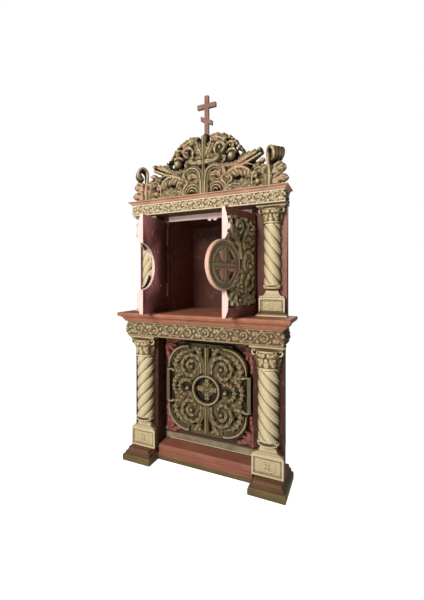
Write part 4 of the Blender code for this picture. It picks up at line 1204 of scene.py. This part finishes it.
def crown_side(mesh, side):
    """Everything on one side of the stalk, from the middle out."""
    cut = Carver(mesh, side)
    blade, fan, swirl = cut.blade, cut.fan, cut.swirl

    # The leaves behind, which leave little of the ground in sight
    for points, width, fingers in (
            (((0.020, 0.0), (0.060, 0.070), (0.085, 0.150)), 0.058, 3),
            (((0.010, 0.215), (0.070, 0.265), (0.130, 0.345)), 0.074, 4),
            (((0.140, 0.030), (0.160, 0.120), (0.245, 0.215)), 0.062, 5),
            (((0.190, 0.0), (0.290, 0.050), (0.400, 0.120)), 0.054, 5),
            (((0.430, 0.0), (0.425, 0.080), (0.390, 0.160)), 0.042, 3)):
        fan(points, width, 0.034, fingers)
    # The great scroll with the leaf inside it, and the ribbed shell in its foot
    flutes(mesh, cut.spine(((0.016, 0.010), (0.016, 0.100), (0.034, 0.168), (0.080, 0.192),
                            (0.124, 0.180))), (0.026, 0.026), 0.062, 3)
    blade(((0.108, 0.190), (0.142, 0.172), (0.150, 0.136), (0.124, 0.108)), 0.025, 0.060, 2,
          tip=0.5)
    fan(((0.040, 0.100), (0.062, 0.146), (0.104, 0.152), (0.116, 0.120)), 0.034, 0.050, 4)
    for ring, rise in ((0.056, 0.040), (0.036, 0.047), (0.015, 0.052)):
        strip(mesh, curl((side * 0.088, 0.030), ring, 90 - side * 92, side * 184, 1.0), 0.011,
              rise, cup=0.7, tip=0.8, arch=0.3)
    blade(((0.150, 0.004), (0.158, 0.060), (0.130, 0.100), (0.160, 0.130)), 0.016, 0.046, 2)
    # The horn over it, the stem's leaves, and the dome's scrolls
    blade(((0.006, 0.216), (0.030, 0.232), (0.078, 0.230), (0.100, 0.256), (0.078, 0.278)),
          0.027, 0.060, 2, tip=0.5)
    fan(((0.012, 0.262), (0.026, 0.300), (0.048, 0.340), (0.050, 0.376)), 0.032, 0.052, 3)
    swirl(0.122, 0.306, 0.044, 215, -330, 0.019, 0.060, 4)
    fan(((0.052, 0.388), (0.092, 0.384), (0.138, 0.364), (0.172, 0.330)), 0.032, 0.054, 4)
    swirl(0.192, 0.312, 0.030, 190, -300, 0.016, 0.050, 3)
    beaded(mesh, cut.spine(((0.050, 0.404), (0.090, 0.404), (0.134, 0.398), (0.166, 0.382),
                            (0.198, 0.362), (0.224, 0.334), (0.242, 0.306), (0.270, 0.276))),
           0.0145, 0.040, 11)
    # The dish of the ball flower
    blade(((0.140, 0.150), (0.132, 0.196), (0.152, 0.238)), 0.017, 0.046, 2, 0.3)
    blade(((0.128, 0.196), (0.168, 0.184), (0.214, 0.184), (0.262, 0.206), (0.286, 0.262)),
          0.019, 0.056, 0, 0.0, tip=0.6)
    beaded(mesh, cut.spine(((0.140, 0.198), (0.204, 0.190), (0.256, 0.212), (0.282, 0.258))),
           0.0085, 0.062, 7)
    blade(((0.226, 0.252), (0.222, 0.280), (0.190, 0.286), (0.162, 0.268)), 0.014, 0.050, 3)
    # Sprays out to the corner, the buds and balls, and the leaf that droops under them
    for points, width in (
            (((0.158, 0.130), (0.234, 0.180), (0.309, 0.216), (0.384, 0.250)), 0.013),
            (((0.165, 0.122), (0.260, 0.160), (0.330, 0.196), (0.398, 0.226)), 0.011),
            (((0.180, 0.136), (0.250, 0.188), (0.300, 0.222), (0.352, 0.256)), 0.010),
            (((0.200, 0.160), (0.256, 0.206), (0.312, 0.250)), 0.010)):
        strip(mesh, cut.spine(points), width, 0.052, 0.3, 0.6, 0.9, arch=0.3)
    for x, z, radius, rise in ((0.388, 0.250, 0.017, 0.052), (0.314, 0.248, 0.012, 0.046),
                               (0.352, 0.254, 0.012, 0.046), (0.200, 0.242, 0.034, 0.064),
                               (0.122, 0.304, 0.019, 0.056), (0.183, 0.088, 0.012, 0.050),
                               (0.372, 0.052, 0.026, 0.050)):
        cut.bud(x, z, radius, rise)
    fan(((0.153, 0.120), (0.205, 0.150), (0.270, 0.156), (0.322, 0.128), (0.334, 0.092)),
        0.056, 0.058, 4, (-1,), 0.5)
    fan(((0.165, 0.128), (0.220, 0.160), (0.290, 0.176), (0.350, 0.160)), 0.030, 0.056, 3,
        (1,))
    swirl(0.183, 0.088, 0.026, 120, -300, 0.011, 0.052, 0)
    fan(((0.152, 0.004), (0.172, 0.040), (0.214, 0.060), (0.256, 0.052)), 0.030, 0.046, 3)
    fan(((0.226, 0.002), (0.282, 0.018), (0.336, 0.040)), 0.024, 0.040, 3)
    fan(((0.340, 0.020), (0.340, 0.090), (0.372, 0.136), (0.410, 0.116), (0.414, 0.070)),
        0.034, 0.052, 4)
    blade(((0.352, 0.130), (0.386, 0.176), (0.424, 0.184)), 0.018, 0.044, 2)
    blade(((0.330, 0.006), (0.385, 0.020), (0.430, 0.008)), 0.016, 0.036, 2)


def crook(mesh, side):
    """The end: a ribbed leaf set across the corner that curls over outwards."""
    outward = Vector((side, -1, 0)).normalized()
    across = Vector((side, 1, 0)).normalized()
    root = Vector((side * CROOK_X, deep(CROOK_DEPTH) - CROWN_GROUND, 0))
    spine = through((0.0, 0.0), (0.004, 0.090), (-0.006, 0.160), (-0.004, 0.212),
                    (0.022, 0.238), (0.052, 0.224), (0.058, 0.194), (0.042, 0.176),
                    (0.028, 0.184))

    def face(turn):
        def place(u, v):
            spot = spine(u)
            half = CROOK_HALF + 0.012 * min(1, (u / 0.45) ** 2) - 0.020 * max(0, u - 0.6) / 0.4
            rib = abs(math.sin(math.pi * 2 * (v + 1))) ** 0.6
            thick = turn * (0.0045 + 0.0060 * rib + 0.018 * max(0, u - 0.7) / 0.3)
            out, up = spot - across_of(spine, u) * thick
            return root + outward * out + across * half * v + Vector((0, 0, up))
        return place

    sheet(mesh, 40, 18, face(1), face(-1))


def crown_end(mesh, side):
    """Pointed leaves on the outer edge of the end."""
    cut = Carver(mesh, side)
    for low, reach in ((0.010, 0.572), (0.074, 0.558)):
        leaf(mesh, cut.spine(((0.474, low + 0.010), (0.520, low + 0.036),
                              (reach, low + 0.036))), 0.030, 0.036, 2, 0.5, 0.2, 0.5, 0.15)
        leaf(mesh, cut.spine(((0.480, low + 0.040), (0.506, low + 0.066),
                              (0.532, low + 0.074))), 0.017, 0.030, 2, 0.5, 0.2, 0.5, 0.3)


def crown_plate(mesh):
    """The thin ground that the leaves are cut from, kept inside their outline."""
    half = ((0.0, 0.388), (0.10, 0.382), (0.17, 0.352), (0.22, 0.305), (0.255, 0.235),
            (0.31, 0.205), (0.38, 0.185), (0.43, 0.150), (0.47, 0.110), (0.48, 0.030),
            (0.50, 0.0))
    outline = [(-x, h) for x, h in reversed(half) if x > 0] + list(half)
    extruded(mesh, [(x, CROWN_THICK, h) for x, h in outline], (0, -CROWN_THICK, 0))
    for x in (-CROOK_X, -WING_START, WING_START, CROOK_X):
        cut_through(mesh, (x, 0, 0), (1, 0, 0))


mesh = bmesh.new()
crown_plate(mesh)
flutes(mesh, through((0, 0.0), (0, 0.10), (0, 0.215)), (0.034, 0.014), 0.058, 3)
flutes(mesh, through((0, 0.205), (0, 0.30), (0, 0.408)), (0.012, 0.024), 0.056, 3)
bud(mesh, 0, 0.404, 0.030, 0.032)
for side in (-1, 1):
    crown_side(mesh, side)
    crown_end(mesh, side)
for vert in mesh.verts:
    if vert.co.y < CROWN_THICK:
        share = (abs(vert.co.x) - WING_START) / (CROOK_X - WING_START)
        vert.co.y -= WING_FORWARD * min(1, max(0, share))
for side in (-1, 1):
    crook(mesh, side)
bmesh.ops.translate(mesh, verts=mesh.verts, vec=(0, 0, CROWN_LOW.z))
crown = carved("crown_carving", mesh, [GOLD_PAINT], 0.0034, CROWN_GROUND, CROWN_BACK,
               CROWN_LOW.z, keep=0.45)
stand_for(crown, "olive_carving", "crown")


# Doors: limewood boards carved through one wavy thickness, with plain mahogany rails. They hang
# on butt hinges, carry a painted highlight in pale pink on their edges, and meet round the
# medallion when they are closed.
HINGES = {joint["name"]: Vector(joint["pos_m"]) for joint in frame["joints"]}
OPEN_ANGLE = {-1: math.radians(-86), 1: math.radians(73)}
DOOR_WIDTH, DOOR_GROUND = 0.328, 0.020
DOOR_LOW, DOOR_HIGH = [corner.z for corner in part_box("right_door")]
MEDALLION_Z = sum(corner.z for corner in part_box("medallion")) / 2
RIM, HOLE = 0.147, 0.096
NOTCH = {-1: 0.150, 1: RIM + 0.0003}
HINGE_GAP, HINGE_STILE = 0.006, 0.034
BOTTOM_RAIL, TOP_RAIL = DOOR_LOW + 0.060, DOOR_HIGH - 0.046
WAVES = (1.145, 1.594)
WAVE_REACH, WAVE_STEPS = 0.085, 44
# Painted highlight: the pale pink of the doors' edges stands in for light falling on them.
EDGE_HIGHLIGHT = stained_wood("pink_edge", (0.44, 0.27, 0.24), (0.70, 0.51, 0.47), gloss=0.55)


def chipped_back():
    """The doors' inner faces: dark stain with small pale chips."""
    wood = Finish("door_inside", Coat_Weight=0.08, Coat_Roughness=0.4)
    lines = wood.noise(0.005, 3, (1, 1, 12))
    cloud = wood.noise(0.09, 3)
    chips = wood.noise(0.013, 1, (1, 1, 1.5), 0.4).step(0.735, 0.755)
    dust = wood.noise(0.004, 1).step(0.74, 0.80) * 0.25
    colour = wood.mix((lines * 0.5 + cloud * 0.7 - 0.1).clamp(), (0.100, 0.030, 0.028),
                      (0.240, 0.080, 0.074))
    colour = wood.mix((chips + dust).clamp(), colour, (0.72, 0.55, 0.52))
    return wood.finish(colour, 0.5 + 0.2 * lines, lines - chips, 0.2, 0.0006)


DOOR_BACK = chipped_back()


def wave(reach, z):
    """How far the carved face swells out, most at the free edge."""
    swell = sum(max(0, 1 - ((z - top) / WAVE_REACH) ** 2) for top in WAVES)
    return (0.004 + 0.022 * reach / DOOR_WIDTH) * swell


def seat_of(side):
    """From a door's own place, with its hinge axis at x = 0, to where it stands open."""
    axis = HINGES["left_hinge" if side < 0 else "right_hinge"]
    return Matrix.Translation((axis.x, axis.y, 0)) @ Matrix.Rotation(OPEN_ANGLE[side], 4, "Z")


def door_outline(side):
    """The board's outline: reach from the hinge and height, with the half-round notch."""
    notch = NOTCH[side]
    points = [(HINGE_GAP, DOOR_LOW), (DOOR_WIDTH, DOOR_LOW)]
    for step in range(25):
        angle = math.pi * step / 24
        reach = min(DOOR_WIDTH, DOOR_WIDTH + 0.001 - notch * math.sin(angle))
        points.append((reach, MEDALLION_Z - notch * math.cos(angle)))
    return points + [(DOOR_WIDTH, DOOR_HIGH), (HINGE_GAP, DOOR_HIGH)]


def door_carving(mesh, side):
    """Two rows of leaf scrolls between the rails, and a long leaf round the notch."""
    cut = Carver(mesh, -side)
    blade, swirl = cut.blade, cut.swirl

    # The leaves behind, over the whole ground
    for points, width, fingers in (
            (((0.300, 1.500), (0.240, 1.560), (0.180, 1.640)), 0.058, 4),
            (((0.160, 1.430), (0.110, 1.520), (0.070, 1.620)), 0.058, 5),
            (((0.060, 1.300), (0.080, 1.380), (0.060, 1.460)), 0.048, 4),
            (((0.165, 1.300), (0.120, 1.380), (0.130, 1.440)), 0.040, 5),
            (((0.110, 1.130), (0.150, 1.220), (0.110, 1.310)), 0.058, 5),
            (((0.180, 1.130), (0.250, 1.170), (0.300, 1.200)), 0.052, 3),
            (((0.200, 1.300), (0.230, 1.240), (0.290, 1.200)), 0.035, 5)):
        cut.fan(points, width, 0.015, fingers)
    # Upper part: the leaf from the notch up to the top rail, and the scrolls beside it
    blade(((0.178, 1.400), (0.196, 1.480), (0.250, 1.524), (0.300, 1.560), (0.306, 1.620)),
          0.024, 0.022, 4)
    swirl(0.235, 1.592, 0.044, 250, -300, 0.020, 0.026, 4)
    blade(((0.150, 1.460), (0.162, 1.540), (0.130, 1.600), (0.150, 1.640)), 0.020, 0.024, 3)
    swirl(0.100, 1.588, 0.040, 60, 300, 0.020, 0.026, 4)
    blade(((0.060, 1.500), (0.100, 1.530), (0.150, 1.515), (0.170, 1.470)), 0.018, 0.022, 3)
    for start, z, rise in ((0.300, 1.640, 0.018), (0.250, 1.646, 0.020), (0.195, 1.640, 0.022),
                           (0.140, 1.646, 0.020), (0.085, 1.640, 0.018)):
        blade(((start + 0.020, z - 0.012), (start, z), (start - 0.028, z - 0.002)), 0.014, rise,
              2, tip=0.3)
    # Middle: an arched leaf over a bud beside the medallion
    blade(((0.140, 1.330), (0.150, 1.400), (0.116, 1.448), (0.066, 1.428), (0.060, 1.380)),
          0.022, 0.024, 4)
    blade(((0.120, 1.350), (0.112, 1.390), (0.088, 1.400)), 0.018, 0.020, 2)
    cut.bud(0.092, 1.362, 0.022, 0.024)
    # Lower part: a long ribbed leaf up the hinge side, scrolls and a fan on the bottom rail
    blade(((0.150, 1.200), (0.130, 1.260), (0.090, 1.310), (0.052, 1.342)), 0.024, 0.022, 4)
    blade(((0.168, 1.310), (0.190, 1.250), (0.240, 1.206), (0.298, 1.190)), 0.022, 0.022, 4)
    swirl(0.190, 1.236, 0.030, 40, -290, 0.017, 0.024, 3)
    swirl(0.236, 1.158, 0.040, 120, -300, 0.018, 0.026, 4)
    blade(((0.150, 1.236), (0.112, 1.220), (0.066, 1.236), (0.050, 1.270)), 0.020, 0.022, 3)
    blade(((0.170, 1.150), (0.120, 1.170), (0.070, 1.166), (0.048, 1.190)), 0.020, 0.020, 3)
    for start, z in ((0.290, 1.134), (0.225, 1.126), (0.165, 1.130), (0.110, 1.126),
                     (0.062, 1.132)):
        blade(((start + 0.018, z - 0.004), (start - 0.006, z + 0.018), (start - 0.034, z)),
              0.016, 0.020, 2, tip=0.3)
    for step in range(11):
        z = 1.150 + 0.046 * step
        blade(((0.064, z - 0.018), (0.050, z), (0.036, z + 0.014)), 0.013, 0.018, 2, tip=0.2)


# The first colour is the glaze and painted shade of the cuts.
DOOR_PAINT = aged_paint("door_paint", (0.010, 0.006, 0.003), (0.165, 0.124, 0.056),
                        (0.54, 0.455, 0.270), (0.30, 0.12, 0.085), 0.25)
DOOR_RAIL = stained_wood("door_rail", (0.060, 0.020, 0.013), (0.230, 0.082, 0.052), ALONG)


def door(side):
    """A door: its board, rails and stile, the carving, and the waves of its face."""
    word = "left" if side < 0 else "right"
    near, far = -side * HINGE_GAP, -side * DOOR_WIDTH
    mesh = bmesh.new()
    extruded(mesh, [(-side * reach, DOOR_GROUND, z) for reach, z in door_outline(side)],
             (0, -DOOR_GROUND, 0))
    slab(mesh, near, far, DOOR_LOW, BOTTOM_RAIL, 0.004, 0.008)
    slab(mesh, near, far, TOP_RAIL, DOOR_HIGH, 0.004, 0.008)
    slab(mesh, near, -side * HINGE_STILE, DOOR_LOW, DOOR_HIGH, 0.004, 0.009)
    door_carving(mesh, side)
    for step in range(1, WAVE_STEPS):
        z = DOOR_LOW + (DOOR_HIGH - DOOR_LOW) * step / WAVE_STEPS
        cut_through(mesh, (0, 0, z), (0, 0, 1))
    for vert in mesh.verts:
        if vert.co.y < 0.8 * DOOR_GROUND:
            vert.co.y -= wave(abs(vert.co.x), vert.co.z)

    def area(centre, normal):
        """0 olive carving, 1 mahogany rails, 2 dark back, 3 edge with a pink painted highlight."""
        reach = abs(centre.x)
        if centre.y > -0.002 and normal.y > 0.5:
            return 2
        radius = math.hypot(reach - DOOR_WIDTH, centre.z - MEDALLION_Z)
        out, up = -side * normal.x, normal.z
        inward = (DOOR_WIDTH - reach) * out + (MEDALLION_Z - centre.z) * up
        if (reach > DOOR_WIDTH - 0.006 and out > 0.6
                or side < 0 and radius < NOTCH[side] + 0.004 and inward > 0.8 * radius):
            return 3
        rail = centre.z < BOTTOM_RAIL + 0.003 or centre.z > TOP_RAIL - 0.003
        return 1 if rail or reach < HINGE_STILE else 0

    made = carved(word + "_door_carving", mesh, [DOOR_PAINT, DOOR_RAIL, DOOR_BACK, EDGE_HIGHLIGHT],
                  0.0028, -DOOR_GROUND, 0.0, keep=0.45, depth=0.020, body=word + "_door",
                  area=area, seat=seat_of(side))
    stand_for(made, "olive_carving", word + "_door")


for side in (-1, 1):
    door(side)


# Medallion: a turned limewood round on the right door's free edge, with a beaded ring and four
# carved arms that are pierced between, painted olive in front, with a pink painted highlight on
# the rim.
ARM_SIDES = stained_wood("arm_sides", (0.26, 0.11, 0.08), (0.62, 0.36, 0.29), gloss=0.55)
# The first colour is the glaze and painted shade of the cuts.
MEDALLION_PAINT = aged_paint("medallion_paint", (0.014, 0.008, 0.004), (0.165, 0.112, 0.060),
                             (0.42, 0.330, 0.195), (0.40, 0.18, 0.12), 0.5)
# Painted highlight: the rim's pale pink stands in for light falling on the edge.
RIM_HIGHLIGHT = stained_wood("medallion_rim", (0.30, 0.15, 0.11), (0.60, 0.38, 0.30), gloss=0.5)


def medallion():
    """The round of the right door: a beaded ring, and four flared leaf arms inside it."""
    mesh = bmesh.new()
    middle = (-DOOR_WIDTH - 0.001, MEDALLION_Z)
    back = DOOR_GROUND
    ring_round(mesh, *middle, HOLE, HOLE + 0.016, 0.008, 64, back)
    ring_round(mesh, *middle, HOLE + 0.012, RIM - 0.012, 0.003, 64, back)
    ring_round(mesh, *middle, RIM - 0.016, RIM, 0.008, 64, back)
    beads = 44
    for step in range(beads):
        turn = 2 * math.pi * step / beads
        spot = Vector(middle) + (HOLE + RIM) / 2 * Vector((math.cos(turn), math.sin(turn)))
        bud(mesh, spot.x, spot.y, 0.0058, 0.0075)
    start = Vector(middle)
    for arm in range(4):
        way = compass(arm)
        over = Vector((way.y, -way.x))
        for lean in (-1, 1):
            leaf(mesh, through(start + way * 0.004, start + way * 0.045 + over * lean * 0.010,
                               start + way * 0.076 + over * lean * 0.020,
                               start + way * 0.100 + over * lean * 0.026), 0.016, 0.010, 2,
                 0.35, 0.1, 0.5, 0.9, back - 0.004)
        strip(mesh, through(start + way * 0.010, start + way * 0.060, start + way * 0.100),
              0.012, 0.013, 0.2, 0.5, 0.9, back - 0.004, 0.3)
    bud(mesh, *middle, 0.016, 0.014, 0.004)

    def area(centre, normal):
        """0 olive carving, 1 the arms' sides, 2 dark back, 3 rim with a pink painted highlight."""
        radius = math.hypot(centre.x - middle[0], centre.z - MEDALLION_Z)
        if normal.y > 0.7 and centre.y > -0.006:
            return 2
        if radius > RIM - 0.003 and abs(normal.y) < 0.6:
            return 3
        return 1 if radius < HOLE - 0.010 and abs(normal.y) < 0.6 else 0

    made = carved("medallion_carving", mesh, [MEDALLION_PAINT, ARM_SIDES, DOOR_BACK, RIM_HIGHLIGHT],
                  0.0022, -DOOR_GROUND, 0.0, keep=0.45, depth=0.016, body="right_door",
                  area=area, seat=seat_of(1))
    stand_for(made, "olive_carving", "medallion")


medallion()


# Hinges: brass butts, two to a door, screwed to the cabinet walls and to the doors' edges.
# They keep the shape of their CAD pieces and get a dulled, scratched finish.
def aged_brass():
    """Turned brass, dulled and scratched."""
    metal = Finish("aged_brass", Metallic=1.0)
    tarnish = metal.noise(0.012, 5)
    colour = metal.mix(tarnish.step(0.35, 0.7), (0.30, 0.19, 0.075), (0.66, 0.46, 0.20))
    return metal.finish(colour, 0.30 + 0.30 * tarnish, tarnish, 0.15, 0.0003)


BRASS = aged_brass()
for word in ("left", "right"):
    for end in ("upper", "lower"):
        dress("%s_%s_hinge" % (word, end), BRASS)


# Stage: a plain pale floor, soft studio light and the camera of the photograph. The camera's
# place, turn and lens come from a fit to straight edges of the altar.
def stage_floor():
    """A pale floor that is nearly white to the camera and throws little light on the altar."""
    mesh = bmesh.new()
    bmesh.ops.create_grid(mesh, x_segments=1, y_segments=1, size=9)
    data = bpy.data.meshes.new("floor")
    mesh.to_mesh(data)
    mesh.free()
    paint = Finish("pale_floor", Emission_Strength=0.95)
    cloud = paint.noise(1.2, 2)
    seen = paint.node("LightPath", output="Is Camera Ray")
    paint.feed(paint.shader.inputs["Emission Color"],
               paint.mix(seen, (0.18, 0.18, 0.18), (1.0, 1.0, 1.0)))
    data.materials.append(paint.finish(paint.mix(cloud, (0.80, 0.79, 0.78), (0.86, 0.85, 0.84)),
                                       0.8, cloud, 0.0, 0.001))
    floor = bpy.data.objects.new("floor", data)
    bpy.context.scene.collection.objects.link(floor)


def soft_light(name, place, aim, size, power, colour):
    """A round soft lamp at a place, turned towards aim."""
    lamp = bpy.data.lights.new(name, "AREA")
    lamp.shape = "DISK"
    lamp.size = size
    lamp.energy = power
    lamp.color = colour
    made = bpy.data.objects.new(name, lamp)
    made.location = place
    made.rotation_euler = (Vector(aim) - Vector(place)).to_track_quat("-Z", "Y").to_euler()
    bpy.context.scene.collection.objects.link(made)


stage_floor()
soft_light("key", (-0.7, -3.4, 2.8), (0, 0, 1.3), 1.2, 200, (1.0, 0.97, 0.93))
soft_light("fill", (0.0, -3.8, 0.9), (0, 0, 1.1), 1.8, 32, (1.0, 0.97, 0.95))
soft_light("back", (0.6, 3.0, 3.0), (0, 0, 1.4), 2.5, 60, (0.96, 0.98, 1.0))

LIGHT_ON_PIECES, LIGHT_SEEN = 0.15, 1.0
bpy.context.scene.view_settings.view_transform = "Standard"
world = bpy.data.worlds.new("studio")
world.use_nodes = True
tree = world.node_tree
backdrop = tree.nodes["Background"]
backdrop.inputs["Color"].default_value = (1, 1, 1, 1)
seen = tree.nodes.new("ShaderNodeLightPath")
level = tree.nodes.new("ShaderNodeMapRange")
level.inputs["To Min"].default_value = LIGHT_ON_PIECES
level.inputs["To Max"].default_value = LIGHT_SEEN
tree.links.new(seen.outputs["Is Camera Ray"], level.inputs["Value"])
tree.links.new(level.outputs["Result"], backdrop.inputs["Strength"])
bpy.context.scene.world = world

CAMERA_X, CAMERA_DEPTH, CAMERA_HEIGHT = 0.9163, -1.8838, 1.2652
CAMERA_YAW = 0.416
FOCAL_PIXELS = 316.56
PICTURE_HEIGHT = 600
HORIZON_ROW = 281.81
camera = bpy.data.cameras.new("camera")
camera.sensor_width = 36
camera.sensor_fit = "AUTO"
camera.lens = camera.sensor_width * FOCAL_PIXELS / PICTURE_HEIGHT
camera.shift_y = (HORIZON_ROW - PICTURE_HEIGHT / 2) / PICTURE_HEIGHT
view = bpy.data.objects.new("camera", camera)
view.location = (CAMERA_X, deep(CAMERA_DEPTH), CAMERA_HEIGHT)
view.rotation_euler = (math.pi / 2, 0, CAMERA_YAW)
bpy.context.scene.collection.objects.link(view)
bpy.context.scene.camera = view
